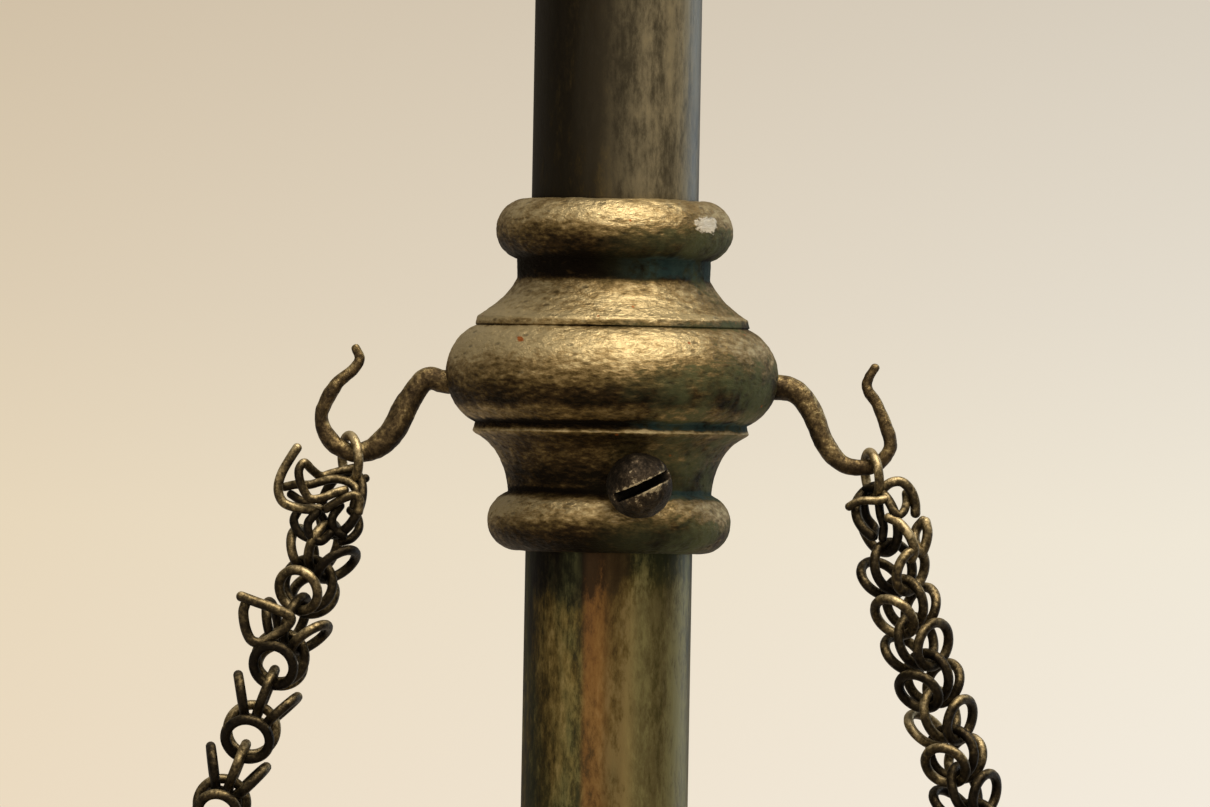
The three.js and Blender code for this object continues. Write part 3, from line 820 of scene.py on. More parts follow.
def suspension_ring():
    obj = sweep("ring_of_the_hanger", circle(RING["mean"], 220), RING["wire"], 32, closed=True)
    placed(obj, shifted(z=RING_CENTRE))
    roughened(obj, (5, 0.1), (1.2, 0.04), seed=1)
    worn(obj, 1.5, 0.1)
    finish_piece(obj, "suspension", "cast_brass", ["suspension_ring"])


def swivel():
    """The cast eye, whose shank turns in the top cap, with its washer and nut."""
    centre = RING_FOOT + RING["wire"] + GAP - (EYE["mean"] - EYE["wire"])
    loop = sweep("loop", circle(EYE["mean"], 120), EYE["wire"], 24, closed=True)
    placed(loop, shifted(z=centre) @ turned_about("Z", 90))
    neck = centre - EYE["mean"]
    flare = bend((3.6, neck - 1.8), (3.9, CAP_TOP + 4), (6.4, CAP_TOP + 2.6), 8)
    profile = [(0, EYE["shank_end"]), (EYE["shank"], EYE["shank_end"]), (EYE["shank"], CAP_TOP + GAP),
               (6.4, CAP_TOP + GAP), (6.6, CAP_TOP + 1.2), *flare[::-1], (3.4, neck + 0.8), (0, neck + 0.8)]
    stem = lathe("stem", dense(profile, 0.6), 64)
    obj = fused(joined("eye_of_the_swivel", [loop, stem]), 0.28)
    roughened(obj, (4, 0.08), (0.9, 0.04), seed=2)
    worn(obj, 1.4, 0.16)
    finish_piece(obj, "swivel", "cast_brass", ["swivel_eye"])

    bore = EYE["shank"] + GAP
    low, high = CAP_CEILING - 1.3, CAP_CEILING - GAP
    profile = softened([(bore, low), (6.2, low), (6.2, high), (bore, high)], 0.2, closed=True)
    washer = lathe("washer_of_the_swivel", profile, 72, closed=True)
    worn(washer, 0.5, 0.2)
    finish_piece(washer, "swivel", "pan_brass", ["swivel_washer"])

    low, high = CAP_CEILING - 5.8, CAP_CEILING - 1.6
    profile = [(bore, low), (4.6, low), (5.4, low + 0.7), (5.4, high - 0.7), (4.6, high), (bore, high)]
    nut = lathe("nut_of_the_swivel", profile, 6, closed=True)
    worn(nut, 0.5, 0.2)
    finish_piece(nut, "swivel", "screw_steel", ["swivel_nut"], sharp=20)


# ---------- housing ----------
def cap(name, profile, seed, node):
    """A cast cap of the tube, from its closed outline."""
    obj = lathe(name, dense(profile, 0.35, closed=True), 220, closed=True)
    roughened(obj, (4, 0.06), (0.8, 0.03), seed=seed)
    worn(obj, 1.2, 0.12)
    finish_piece(obj, "housing", "cast_brass", [node])


def top_cap():
    bore = EYE["shank"] + GAP
    end = CAP_SKIRT_END
    profile = [
        (bore, CAP_CEILING), (CAP_BORE, CAP_CEILING), (CAP_BORE, end), (10.9, end),
        *arc(10.9, end + 1.2, 1.2, 1.2, -90, 70, 12), (11.3, end + 2.4), (11.3, CAP_TOP - 14),
        *arc(10.6, CAP_TOP - 11.2, 2.4, 2.2, -75, 75, 18),
        *bend((11.4, CAP_TOP - 8.6), (6.8, CAP_TOP - 7), (6.4, CAP_TOP - 1), 14),
        (6.2, CAP_TOP), (bore, CAP_TOP),
    ]
    cap("cap_at_the_top", profile, 3, "top_cap")


def bottom_cap():
    top, floor, end = BOTTOM_CAP["top"], BOTTOM_CAP["floor"], BOTTOM_CAP["end"]
    bore = 3
    profile = [
        (bore, end), (5.2, end), (5.4, end + 1.2),
        *bend((5.6, end + 1.6), (6.6, top - 16), (11.2, top - 14), 14),
        *arc(10.8, top - 11.4, 2.5, 2.3, -72, 72, 18), (11.3, top - 8.6),
        *arc(10.9, top - 1.4, 1.5, 1.4, -70, 90, 12), (CAP_BORE, top), (CAP_BORE, floor), (bore, floor),
    ]
    cap("cap_at_the_bottom", profile, 4, "bottom_cap")


def finial():
    top = BOTTOM_CAP["end"] - GAP
    profile = [
        (0, top - 13.9), (1.2, top - 13.2), *arc(0, top - 7.2, 5, 5.2, -65, 55, 24),
        (2.9, top - 2.4), (4.6, top - 1.2), (4.6, top), (2.7, top), (2.7, BOTTOM_CAP["floor"] - 1),
        (0, BOTTOM_CAP["floor"] - 1),
    ]
    obj = lathe("finial_at_the_bottom", dense(softened(profile, 0.25), 0.3), 120)
    roughened(obj, (3, 0.05), (0.8, 0.03), seed=5)
    worn(obj, 1, 0.12)
    finish_piece(obj, "housing", "cast_brass", ["bottom_finial"])


def spring_seat():
    r = TUBE["inner"] - GAP
    profile = [(0, TUBE["bottom"]), (r, TUBE["bottom"]), (r, SEAT_TOP), (5, SEAT_TOP), (5, SEAT_TOP + 4),
               (4.6, SEAT_TOP + 5), (0, SEAT_TOP + 5)]
    obj = lathe("seat_of_the_spring", dense(softened(profile, 0.2), 0.6), 96)
    finish_piece(obj, "housing", "pan_brass", ["spring_seat"])


def slot_tool():
    """A round-ended slot through the back of the tube."""
    top, low = HOOK_ROOT["z"], HOOK_ROOT["z"] - STROKE
    outline = [(SLOT_HALF * math.cos(t), top + SLOT_HALF * math.sin(t)) for t in np.linspace(0, math.pi, 17)]
    outline += [(SLOT_HALF * math.cos(t), low + SLOT_HALF * math.sin(t))
                for t in np.linspace(math.pi, 2 * math.pi, 17)]
    count = len(outline)
    vertices = [(x, y, z) for y in (2, 14) for x, z in outline]
    faces = [tuple(range(count)), tuple(range(2 * count - 1, count - 1, -1))]
    faces += [(i, (i + 1) % count, count + (i + 1) % count, count + i) for i in range(count)]
    return outward(new_object("slot_tool", vertices, faces))


def tube():
    """The drawn tube with the carriage screw's slot in its back."""
    outer, inner, top, bottom = (TUBE[k] for k in ("outer", "inner", "top", "bottom"))
    edge = softened([(inner, bottom), (outer, bottom), (outer, top), (inner, top)], 0.15, closed=True)
    obj = lathe("tube_of_the_scale", dense(edge, 4, closed=True), 192, closed=True)
    cut(obj, slot_tool())
    finish_piece(obj, "housing", "tube_brass", ["scale_tube"], sharp=30)


def wrapped(points):
    """Flat points in (across, height), bent round the tube's back: once under its skin, once over it."""
    shells = []
    for r in (TUBE["outer"] - MARK["under"], TUBE["outer"] + MARK["over"]):
        for across, z in points:
            t = BACK - across / TUBE["outer"]
            shells.append((r * math.cos(t), r * math.sin(t), z))
    return shells


def mark_tile(across, z, length, thickness):
    """A short level line on the tube's back that starts at across and runs away from the slot."""
    xs = np.linspace(across, across + length, 7)
    outline = [(x, z - thickness / 2) for x in xs] + [(x, z + thickness / 2) for x in xs[::-1]]
    count = len(outline)
    faces = [tuple(range(count - 1, -1, -1)), tuple(range(count, 2 * count))]
    faces += [(i, (i + 1) % count, count + (i + 1) % count, count + i) for i in range(count)]
    return wrapped(outline), faces


def numeral(text, height):
    """A generic numeral as a flat mesh: its vertices, centred, and its faces."""
    curve = bpy.data.curves.new("numeral", "FONT")
    curve.body = text
    curve.size = height * MM * 1.4
    curve.align_x = "CENTER"
    curve.align_y = "CENTER"
    obj = bpy.data.objects.new("numeral", curve)
    bpy.context.collection.objects.link(obj)
    bpy.context.view_layer.update()
    mesh = bpy.data.meshes.new_from_object(obj.evaluated_get(bpy.context.evaluated_depsgraph_get()))
    points = [(v.co.x / MM, v.co.y / MM) for v in mesh.vertices]
    faces = [tuple(p.vertices) for p in mesh.polygons]
    bpy.data.objects.remove(obj)
    return points, faces


def numeral_shell(text, height, across, z):
    """A numeral wrapped on the tube's back, read from outside, standing as a thin closed shell."""
    points, faces = numeral(text, height)
    count = len(points)
    sides = {}
    for face in faces:
        for a, b in zip(face, face[1:] + face[:1]):
            sides[(a, b)] = sides.get((a, b), 0) + 1
    rims = [(a, b) for a, b in sides if (b, a) not in sides]
    shell_faces = [tuple(face) for face in faces]
    shell_faces += [tuple(count + i for i in reversed(face)) for face in faces]
    shell_faces += [(b, a, count + a, count + b) for a, b in rims]
    return wrapped([(across - x, z + y) for x, y in points]), shell_faces


def graduations():
    """Ten marks to the kilogram beside the slot, numbered 0 to 5, read at the collar's upper edge."""
    per_kg, inset = MARK["per_kg"], MARK["inset"]
    vertices, faces = [], []

    def add(made):
        start = len(vertices)
        vertices.extend(made[0])
        faces.extend(tuple(start + i for i in face) for face in made[1])

    for step in range(FULL_LOAD_KG * per_kg + 1):
        z = COLLAR_TOP - STROKE * step / (FULL_LOAD_KG * per_kg)
        length = 4.6 if step % per_kg == 0 else 3.2 if step % (per_kg // 2) == 0 else 2.1
        for side in (-1, 1):
            across = inset if side > 0 else -inset - length
            add(mark_tile(across, z, length, 0.28 if step % per_kg == 0 else 0.2))
        if step % per_kg == 0:
            add(numeral_shell(str(step // per_kg), MARK["numeral"], inset + MARK["numeral_at"], z))
    obj = outward(new_object("marks_of_the_scale", vertices, faces))
    finish_piece(obj, "housing", "tube_brass", sharp=30, skin=WAX)


def spring():
    """The load spring, which the sliding carriage squashes against its seat."""
    low = SEAT_TOP + GAP + SPRING["wire"]
    high = CARRIAGE["bottom"] - GAP - SPRING["wire"]
    count = SPRING["turns"] * 36
    points = []
    for i in range(count + 1):
        share = i / count
        t = 2 * math.pi * SPRING["turns"] * share
        z = low + (high - low) * share
        points.append((SPRING["mean"] * math.cos(t), SPRING["mean"] * math.sin(t), z))
    obj = sweep("spring_of_the_scale", points, SPRING["wire"], 12)
    finish_piece(obj, "housing", "spring_steel", ["load_spring"])
    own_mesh(obj)


def cap_screw(name, side, z):
    """A small cheese-head screw through a cap's skirt."""
    profile = [(0, -2.9), (1.2, -2.9), (1.2, GAP), (2.1, GAP), (2.1, 1), (1.4, 1.4), (0, 1.5)]
    obj = lathe("head_" + name, dense(softened(profile, 0.15), 0.2), 48)
    tool = box_tool("slot", (6, 0.6, 1.2), shifted(z=1.55) @ turned_about("Z", 20 + z))
    cut(obj, tool)
    placed(obj, shifted(x=side * 11.3, z=z) @ turned_about("Y", side * 90))
    worn(obj, 0.4, 0.08)
    finish_piece(obj, "housing", "screw_steel", [name], sharp=35)


# ---------- slider ----------
def collar_profile():
    """The collar's outline below its top edge, from the bore at the bottom round the outside to the top."""
    outside = [
        *arc(10, -3.5, 3.5, 3.5, 90, -73.4, 40),
        *bend((11, -9.1), (12.2, -11.5), (15.4, -13.5), 12),
        (15.6, -14.4),
        *arc(13.4, -20, 5.5, 5.9, 68.8, -68.8, 40),
        (15.7, -26.5),
        *bend((15.3, -26.8), (12.2, -28.4), (11.6, -33.2), 14),
        *arc(10.4, -36.65, 3.45, 3.45, 69.6, -90, 40),
    ]
    return [(CAP_BORE, -COLLAR_HEIGHT), *outside[::-1], (CAP_BORE, 0)]


def collar():
    profile = dense(softened(collar_profile(), 0.12, closed=True), 0.24, closed=True)
    obj = placed(lathe("collar_casting", profile, 460, closed=True), shifted(z=COLLAR_TOP))
    roughened(obj, (7, 0.12), (2.2, 0.05), (0.75, 0.05), (0.4, 0.025), seed=6)
    worn(obj, 1.6, 0.5)
    finish_piece(obj, "slider", "cast_brass", ["collar"], sharp=80, skin=COLLAR_SKIN)


def carriage():
    """The plug that slides in the tube under the collar and presses on the spring."""
    r, top, bottom = (CARRIAGE[k] for k in ("r", "top", "bottom"))
    profile = [(0, bottom - 6), (4.4, bottom - 6), (5.2, bottom - 5), (5.2, bottom), (r, bottom),
               (r, top - 1), (r - 1, top), (0, top)]
    obj = lathe("plug_in_the_tube", dense(softened(profile, 0.2), 0.8), 96)
    finish_piece(obj, "slider", "pan_brass", ["carriage"])


def ball_screw(name, length, slot_turn, seed):
    """A ball-headed screw along +Z, the ball's centre at the origin, with a driver's slot."""
    head = CLAMP["head"]
    start = -math.degrees(math.acos(SCREW_SHANK / head))
    profile = [(0, -length), (SCREW_SHANK, -length), *arc(0, 0, head, head, start, 90, 60)]
    obj = lathe(name, dense(profile, 0.25), 120)
    slot = (3 * head, DRIVER_SLOT["width"], 2 * DRIVER_SLOT["depth"])
    cut(obj, box_tool("slot", slot, shifted(z=head) @ turned_about("Z", slot_turn)))
    fused(obj, 0.08, 2)
    roughened(obj, (2.5, 0.09), (0.8, 0.07), (0.35, 0.035), seed=seed)
    return worn(obj, 0.7, 0.22)


def clamp_screw():
    obj = ball_screw("screw_of_the_clamp", CLAMP["r"] - TUBE["outer"] - GAP, CLAMP["slot_turn"], 7)
    stand = shifted(y=-CLAMP["r"], z=CLAMP["z"]) @ turned_about("X", 90)
    placed(obj, turned_about("Z", CLAMP["azimuth"]) @ stand)
    finish_piece(obj, "clamp", "screw_steel", ["clamp_screw"], sharp=80)


def carriage_screw():
    obj = ball_screw("screw_of_the_carriage", CARRIAGE_SCREW_Y - 2, 60, 8)
    placed(obj, shifted(y=CARRIAGE_SCREW_Y, z=HOOK_ROOT["z"]) @ turned_about("X", -90))
    finish_piece(obj, "slider", "screw_steel", ["carriage_screw"], sharp=80)


def hook(name, shape, seed):
    """A forged hook: a lumpy wire of changing thickness along its route."""
    side = shape["side"]
    route = [(side * (HOOK_ROOT["r"] + out), 0, HOOK_ROOT["z"] + up, r) for out, up, r in shape["route"]]
    fine = catmull(route, 16)
    obj = sweep("forged_hook_" + name, [p[:3] for p in fine], [p[3] for p in fine], 32)
    roughened(obj, (3, 0.13), (0.9, 0.06), (0.4, 0.03), seed=seed)
    worn(obj, 0.8, 0.08)
    finish_piece(obj, "slider", "hook_bronze", ["hook_" + name], sharp=80)


# ---------- the hanging line of each side ----------
class Line:
    """One side's line from its hook to the pan: the link, the chain, its end ring and the stirrup's foot."""

    def __init__(self, name, shape):
        self.name = name
        self.side = shape["side"]
        self.sag = shape["sag"]
        self.twist = shape["twist"]
        out, up, r = shape["route"][LOWEST]
        low = Vector((self.side * (HOOK_ROOT["r"] + out), 0, HOOK_ROOT["z"] + up))
        self.link_centre = low + Vector((0, 0, r + GAP - (LINK["mean"] - LINK["wire"])))
        self.top = self.link_centre - Vector((0, 0, LINK["mean"]))
        reach = FOOT["circle"] * math.cos(math.radians(FOOT["azimuth"]))
        self.foot = Vector((self.side * reach, 0, FOOT_Z))
        self.down = (self.foot - self.top).normalized()
        self.length = (self.foot - self.top).length
        self.end_ring = self.length - (
            STIRRUP["height"] + END_RING["mean"] - END_RING["wire"] - STIRRUP["wire"] - GAP)

    def at(self, distance):
        """A point on the chain's centreline, which sags a little between its ends."""
        share = distance / self.end_ring
        under = Vector((self.side * self.down.z, 0, -abs(self.down.x)))
        return self.top + self.down * distance + under * (4 * self.sag * share * (1 - share))

    def heading(self, distance):
        return (self.at(distance + 1) - self.at(distance - 1)).normalized()


# The regular weave runs from its first whole level down to the end ring; bent wires fill in above it.
WEAVE = {"wire": 0.58, "tilt": 28, "ear": 2.5, "spread": 1.2, "levels": 35, "start": 8.1}

# Bent wires at the top of each chain: (wire radius, tint, points out from the line's top, forward, up).
TOP_WIRES = {
    "left": [
        (0.55, 1.0, [(6.0, 2.6, 3.7), (6.7, 2.6, 2.6), (7.6, 2.5, 1.0), (8.05, 2.4, -0.4), (8.0, 2.4, -1.6),
            (7.4, 2.4, -2.6), (6.1, 2.3, -3.1), (4.6, 2.1, -3.3), (3.4, 1.6, -3.2)]),
        (0.52, 0.8, [(-0.4, 0.3, 1.5), (1.0, 0.2, 1.15), (2.2, 0.2, 0.8), (3.3, 0.5, 0.5), (4.3, 1.6, 1.2),
            (5.15, 2.8, 2.0), (5.75, 3.2, 1.2), (5.6, 3.2, -0.1), (5.0, 3.1, -1.4), (4.3, 3.0, -2.1),
            (2.9, 2.9, -1.9), (1.5, 2.8, -1.3), (0.5, 2.6, -1.0)]),
        (0.52, 0.6, [(7.4, 0.9, -0.8), (6.1, 1.0, -0.5), (4.6, 1.1, -0.5), (3.2, 1.2, -0.1), (1.7, 1.3, 0.2),
            (0.4, 1.4, 0.0), (-0.5, 1.7, -0.6), (-0.8, 1.9, -1.5), (-0.5, 1.6, -2.8)]),
        (0.52, 0.8, [(2.6, 1.9, -3.2), (1.6, 2.3, -2.5), (0.5, 2.6, -1.9), (-0.6, 2.7, -1.6),
            (-1.2, 2.6, -2.2), (-1.1, 2.5, -3.5)]),
        (0.5, 0.2, [(-0.9, 0.2, 0.1), (-1.8, 0.1, 0.35)]),
        (0.5, 0.2, [(6.7, 0.4, -1.6), (5.6, 0.6, -2.3), (4.5, 0.9, -2.8), (3.0, 0.9, -4.2),
            (2.4, 0.3, -5.8)]),
        (0.52, 0.3, [(-0.1, -0.4, -3.3), (-0.9, -0.2, -4.1), (-1.1, 0.2, -5.4), (-0.3, 0.7, -6.5),
            (0.8, 1.0, -6.9)]),
        (0.52, 0.1, [(5.8, -0.2, -3.4), (6.3, 0.4, -4.6), (5.7, 1.0, -5.9), (4.4, 1.2, -6.6),
            (3.0, 0.8, -6.4)]),
        (0.52, 0.1, [(3.6, 2.2, -3.6), (4.6, 2.5, -4.8), (4.4, 2.4, -6.2), (3.2, 2.2, -6.9),
            (2.1, 2.3, -6.0)]),
        (0.52, 0.1, [(1.0, 1.4, -2.8), (1.9, 1.8, -4.2), (1.6, 1.8, -5.6), (0.6, 1.6, -6.2)]),
        (0.6, 0.75, [(12.1, 2.6, -13.3), (10.2, 3.1, -13.95), (8.0, 3.3, -14.7), (6.4, 3.0, -15.6),
            (6.9, 2.6, -16.7), (8.2, 2.3, -17.7), (9.6, 2.0, -18.5), (10.8, 1.9, -18.3), (11.5, 2.0, -17.0),
            (11.8, 2.2, -15.2), (11.6, 2.3, -14.2)]),
    ],
    "right": [
        (0.5, 0.95, [(-2.6, 1.9, -1.05), (-1.6, 2.2, -0.45), (-0.5, 2.4, -0.3), (0.6, 2.5, -0.3),
            (1.5, 2.3, -0.1)]),
        (0.6, 0.35, [(0.3, -0.7, 1.3), (-0.8, -0.6, 0.7), (-1.7, 0.2, -0.6), (-1.65, 0.9, -2.2),
            (-0.9, 1.2, -3.5), (0.0, 1.3, -4.3)]),
        (0.58, 0.85, [(0.7, 1.2, -0.1), (1.2, 1.4, 1.0), (2.2, 1.5, 1.8), (3.4, 1.4, 1.85), (4.4, 1.1, 0.9),
            (4.9, 0.7, -0.4), (5.0, 0.5, -1.7)]),
        (0.5, 0.7, [(1.5, 2.0, 0.3), (2.1, 2.3, -0.8), (2.9, 2.4, -1.85), (3.6, 1.8, -1.5),
            (3.95, 0.6, -0.5), (3.9, 0.0, 0.6)]),
        (0.52, 0.1, [(0.8, 0.9, -0.5), (1.0, 1.0, -1.9), (1.4, 1.1, -3.2), (1.3, 1.3, -4.6)]),
        (0.52, 0.1, [(-0.9, -0.4, -0.6), (-0.5, -0.8, -2.2), (0.4, -0.6, -3.4), (0.3, 0.4, -4.4)]),
        (0.58, 1.0, [(1.9, 2.2, -2.2), (3.05, 2.6, -2.75), (4.0, 2.9, -3.75), (4.6, 2.9, -4.8),
            (4.9, 2.6, -5.9), (4.6, 2.0, -6.9)]),
        (0.6, 0.95, [(5.9, 0.2, -2.5), (5.2, 0.0, -3.4), (4.95, 0.3, -4.5), (5.2, 0.9, -5.5),
            (5.7, 1.3, -6.2), (6.2, 1.4, -5.1), (6.4, 1.2, -3.8), (6.15, 0.8, -2.6)]),
    ],
}


def ring_path(centre, across, up, mean, steps, squeeze=1.0):
    """A ring's centreline: across and up are unit vectors in its plane."""
    angles = [2 * math.pi * i / steps for i in range(steps)]
    return [centre + across * (mean * squeeze * math.cos(t)) + up * (mean * math.sin(t)) for t in angles]


def chain(line, seed):
    """A woven chain: each level is a centre ring between two leaning rings, and the next level, turned
    a quarter, hangs its centre ring in all three. Bent wires of no order lie round its top."""
    wire, levels = WEAVE["wire"], WEAVE["levels"]
    twist, untwisted = line.twist
    draw = random.Random(seed)
    end_inner = END_RING["mean"] - END_RING["wire"] - wire
    # Each level hangs a ring's mean radius less two wires below the last one's lowest wire, and the last
    # level's lowest wire rests in the end ring.
    last = line.end_ring - end_inner
    pitch = (last - wire - WEAVE["start"]) / (levels - 0.5)
    mean = pitch / 2 + wire
    nest = mean - 2 * wire
    drop = nest - math.sqrt(nest ** 2 - WEAVE["spread"] ** 2)
    depth = Vector((0, 1, 0))
    pieces, tints = [], []

    def turn_at(level, distance):
        """A level's turn about the line: a quarter more each level up, and the weave's own twist."""
        own = twist * max(0.0, 1 - distance / line.end_ring / untwisted)
        return math.radians(90 * (levels - 1 - level) + own)

    def keep(piece, tint):
        pieces.append(piece)
        tints.append((len(piece.data.vertices), tint))

    def add(centre, across, up, radius):
        centre = centre + Vector([draw.uniform(-0.08, 0.08) for _ in range(3)])
        lean = Quaternion(line.down, math.radians(draw.uniform(-5, 5)))
        path = ring_path(centre, lean @ across, lean @ up, radius, 44, draw.uniform(0.96, 1.03))
        keep(sweep("ring", path, wire, 12, closed=True), draw.uniform(0.1, 1))

    for level in range(levels):
        distance = last - mean - (levels - 1 - level) * pitch
        down = line.heading(distance)
        across = Quaternion(down, turn_at(level, distance)) @ depth
        beside = down.cross(across)
        centre = line.at(distance)
        add(centre, across, -down, mean)
        for side in (-1, 1):
            tilt = math.radians(WEAVE["tilt"] + draw.uniform(-4, 4))
            up = -down * math.cos(tilt) + beside * (side * math.sin(tilt))
            foot = centre + down * (mean + drop) + beside * (side * WEAVE["spread"])
            ear = WEAVE["ear"] * draw.uniform(0.96, 1.03)
            add(foot + up * ear, across, up, ear)

    # The first ring hangs from the link and holds the first level.
    high, low = -2 * LINK["wire"], last - 2 * mean - (levels - 1) * pitch + 2 * wire
    down = line.heading(0)
    turn = Quaternion(down, turn_at(-1, 0))
    middle, half = line.at((high + low) / 2), (low - high) / 2
    path = ring_path(middle, turn @ depth, -down, half, 52, 0.8)
    keep(sweep("first", path, wire, 12, closed=True), 0.35)
    for thick, tint, points in TOP_WIRES[line.name]:
        placed_points = [line.top + Vector((line.side * out, -ahead, up)) for out, ahead, up in points]
        smooth = catmull(placed_points, 8)
        keep(sweep("bent_wire", smooth, thick, 12), tint)
    obj = joined("woven_chain_" + line.name, pieces)
    tinted(obj, np.concatenate([np.full(count, tint) for count, tint in tints]))
    finish_piece(obj, "hanger_" + line.name, "chain_wire", ["chain_" + line.name])


def chain_link(line, turn, lean):
    """The wire link that hangs in the hook."""
    path = [Vector(p) for p in circle(LINK["mean"], 72)]
    obj = sweep("link_" + line.name, path, LINK["wire"], 16, closed=True)
    placed(obj, Matrix.Translation(line.link_centre) @ turned_about("Y", lean) @ turned_about("Z", turn))
    tinted(obj, 1.2)
    finish_piece(obj, "link_" + line.name, "chain_wire", ["hook_link_" + line.name])


def end_ring(line):
    """The ring at the chain's lower end, which the stirrup hangs in."""
    obj = sweep("end_ring_" + line.name, circle(END_RING["mean"], 80), END_RING["wire"], 20, closed=True)
    placed(obj, Matrix.Translation(line.at(line.end_ring)))
    tinted(roughened(obj, (1.5, 0.05), seed=9), 0.6)
    finish_piece(obj, "hanger_" + line.name, "chain_wire", ["chain_end_ring_" + line.name])


def stirrup(line):
    """A bent wire that holds the pan's lip in two small loops."""
    half = FOOT["circle"] * math.sin(math.radians(FOOT["azimuth"]))
    apex = Vector((0, 0, STIRRUP["height"] + 1.6))
    feet = [Vector((0, y, 0)) for y in (-half, half)]
    towards = [(apex - f).normalized() for f in feet]
    starts = [f + d * FOOT["mean"] for f, d in zip(feet, towards)]
    shoulders = [apex - d * STIRRUP["bend"] for d in towards]
    corner = [tuple(p) for p in bend(shoulders[0], apex, shoulders[1], 14)]
    path = dense([starts[0], *corner, starts[1]], 1.2)
    lean = Vector((0, 0, 1)).rotation_difference(-line.down).to_matrix().to_4x4()
    legs = placed(sweep("legs", path, STIRRUP["wire"], 20), lean)
    parts = [legs]
    for sign, foot in zip((-1, 1), feet):
        loop = sweep("loop", circle(FOOT["mean"], 64), FOOT["wire"], 18, closed=True)
        turn = turned_about("Z", line.side * sign * FOOT["azimuth"])
        parts.append(placed(loop, Matrix.Translation(foot) @ turn))
    obj = fused(joined("stirrup_wire_" + line.name, parts), 0.2)
    placed(obj, Matrix.Translation(line.foot))
    roughened(obj, (3, 0.06), (0.9, 0.03), seed=10)
    worn(obj, 0.7, 0.08)
    finish_piece(obj, "hanger_" + line.name, "hook_bronze", ["stirrup_" + line.name], sharp=80)


def pan():
    """A spun dish with a flat lip, holed for the stirrups' loops."""
    flat, wall, depth, sheet, lip = (PAN[k] for k in ("flat", "wall", "depth", "sheet", "lip"))
    under = depth - sheet
    profile = [
        (0, 0), *arc(flat, under, wall, under, -90, 0, 60), (lip - 0.5, under), (lip, under + 0.4),
        (lip, depth - 0.4), (lip - 0.5, depth), (flat + wall, depth),
        *arc(flat, under, wall - sheet, under - sheet, 0, -90, 60), (0, sheet),
    ]
    obj = lathe("weighing_pan_sheet", dense(softened(profile, 0.3), 1.2), 320)
    placed(obj, shifted(z=PAN_BOTTOM))
    circle_r = FOOT["circle"] - math.sqrt(FOOT["mean"] ** 2 - FOOT_RISE ** 2)
    azimuth = FOOT["azimuth"]
    tools = []
    for angle in (azimuth, -azimuth, 180 - azimuth, 180 + azimuth):
        place = turned_about("Z", angle) @ shifted(x=circle_r, z=PAN_BOTTOM + under)
        tools.append(rod_tool("hole", 2, 6, place))
    cut(obj, *tools)
    finish_piece(obj, "weighing_pan", "pan_brass", ["pan"], sharp=35)


# ---------- stage ----------
# Soft area lights, all aimed at the collar: name, place and size in metres, watts, colour.
LIGHTS = [
    ("key", (0.25, -0.45, 0.8), (0.8, 0.8), 12.5, (1, 0.88, 0.72)),
    ("window", (0.62, 0.5, 0.0), (0.15, 0.9), 1.1, (0.8, 0.9, 1)),
    ("fill", (-0.5, -0.9, 0.0), (0.5, 0.9), 1.8, (1, 0.86, 0.68)),
]
LIT_POINT = Vector((0, 0, (COLLAR_TOP - COLLAR_HEIGHT / 2) * MM))


def soft_light(name, place, size, energy, colour):
    light = bpy.data.lights.new(name, "AREA")
    light.shape = "RECTANGLE"
    light.size, light.size_y = size
    light.energy = energy
    light.color = colour
    obj = bpy.data.objects.new(name, light)
    bpy.context.collection.objects.link(obj)
    obj.location = place
    obj.rotation_euler = (LIT_POINT - Vector(place)).to_track_quat("-Z", "Y").to_euler()


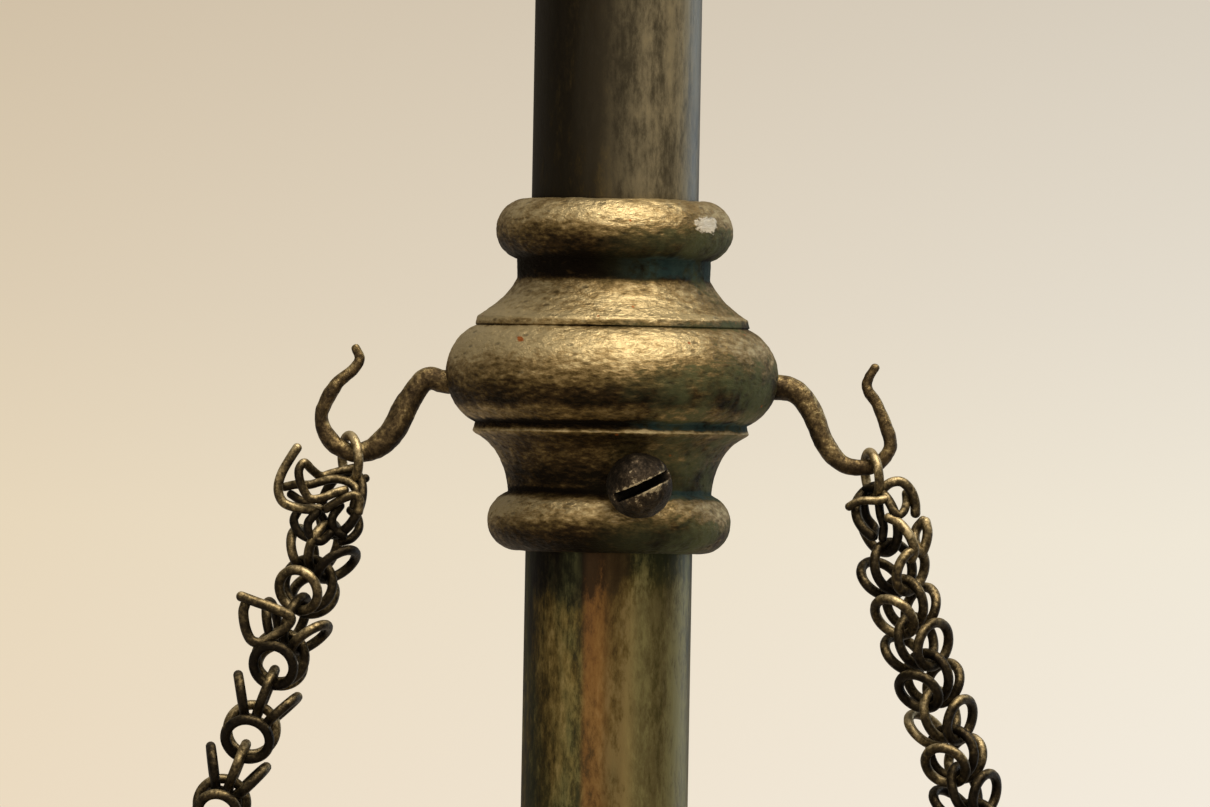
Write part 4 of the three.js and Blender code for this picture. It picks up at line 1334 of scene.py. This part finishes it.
def stage():
    """A pale floor well below the pan's lowest place, soft lights and a plain cream surround."""
    half = FLOOR["half"]
    corners = [(x * half, y * half, FLOOR["z"]) for x, y in ((-1, -1), (1, -1), (1, 1), (-1, 1))]
    floor = new_object("floor", corners, [(0, 1, 2, 3)])
    floor.data.materials.append(floor_paint())
    for light in LIGHTS:
        soft_light(*light)

    world = bpy.data.worlds.new("surround")
    bpy.context.scene.world = world
    world.use_nodes = True
    nodes, links = world.node_tree.nodes, world.node_tree.links
    seen = nodes["Background"]
    direction = nodes.new("ShaderNodeTexCoord").outputs["Generated"]
    split = nodes.new("ShaderNodeSeparateXYZ")
    links.new(direction, split.inputs[0])

    def gradient(axis, low, high, stops):
        span = nodes.new("ShaderNodeMapRange")
        span.inputs["From Min"].default_value = low
        span.inputs["From Max"].default_value = high
        links.new(split.outputs[axis], span.inputs["Value"])
        ramp = colour_ramp(nodes, stops)
        links.new(span.outputs["Result"], ramp.inputs["Fac"])
        return ramp.outputs["Color"]

    # What the camera sees behind the scale: cream, darker upwards and cooler to the right.
    cream = gradient(2, -0.031, 0.031, ((0, (0.83, 0.70, 0.525)), (0.35, (0.80, 0.675, 0.49)),
                                        (0.62, (0.72, 0.605, 0.445)), (1, (0.635, 0.525, 0.38))))
    cooler = gradient(0, -0.05, 0.05, ((0, (1, 1, 1)), (1, (1.09, 1.2, 1.4))))
    both = nodes.new("ShaderNodeMix")
    both.data_type, both.blend_type = "RGBA", "MULTIPLY"
    both.inputs[0].default_value = 1
    links.new(cream, both.inputs[6])
    links.new(cooler, both.inputs[7])
    links.new(both.outputs[2], seen.inputs["Color"])
    # What the metal mirrors and is lit by: a dim room with a pale ceiling.
    room = nodes.new("ShaderNodeBackground")
    air = gradient(2, -1, 1, ((0, (0.05, 0.04, 0.025)), (0.5, (0.09, 0.077, 0.058)), (1, (0.46, 0.42, 0.36))))
    links.new(air, room.inputs["Color"])
    room.inputs["Strength"].default_value = 0.9
    choice = nodes.new("ShaderNodeMixShader")
    links.new(nodes.new("ShaderNodeLightPath").outputs["Is Camera Ray"], choice.inputs[0])
    links.new(room.outputs[0], choice.inputs[1])
    links.new(seen.outputs[0], choice.inputs[2])
    links.new(choice.outputs[0], nodes["World Output"].inputs["Surface"])
    bpy.context.scene.view_settings.view_transform = "Standard"


def camera():
    """Level with the collar, square to the two hooks, close up through a long lens."""
    data = bpy.data.cameras.new("camera")
    data.sensor_width = CAMERA["sensor"]
    data.lens = CAMERA["sensor"] * CAMERA["away"] / CAMERA["frame"]
    data.clip_start = 0.05
    data.clip_end = 60
    obj = bpy.data.objects.new("camera", data)
    bpy.context.collection.objects.link(obj)
    obj.location = (CAMERA["x"] * MM, -CAMERA["away"] * MM, CAMERA["z"] * MM)
    obj.rotation_euler = (math.radians(90), math.radians(-CAMERA["roll"]), 0)
    bpy.context.scene.camera = obj


# ---------- assembly ----------
suspension_ring()
swivel()
top_cap()
bottom_cap()
finial()
spring_seat()
tube()
graduations()
spring()
for cap_name, screw_z in (("top_cap", CAP_SCREW_Z), ("bottom_cap", BOTTOM_SCREW_Z)):
    for side_name, side in (("left", -1), ("right", 1)):
        cap_screw(cap_name + "_screw_" + side_name, side, screw_z)
collar()
carriage()
clamp_screw()
carriage_screw()
LINES = {name: Line(name, shape) for name, shape in HOOKS.items()}
for number, (name, shape) in enumerate(HOOKS.items()):
    hook(name, shape, 11 + number)
    chain_link(LINES[name], *shape["link"])
    end_ring(LINES[name])
    stirrup(LINES[name])
chain(LINES["left"], 21)
chain(LINES["right"], 22)
pan()
stage()
camera()


def corners(bounds):
    return [[float(c) for c in corner] for corner in bounds]
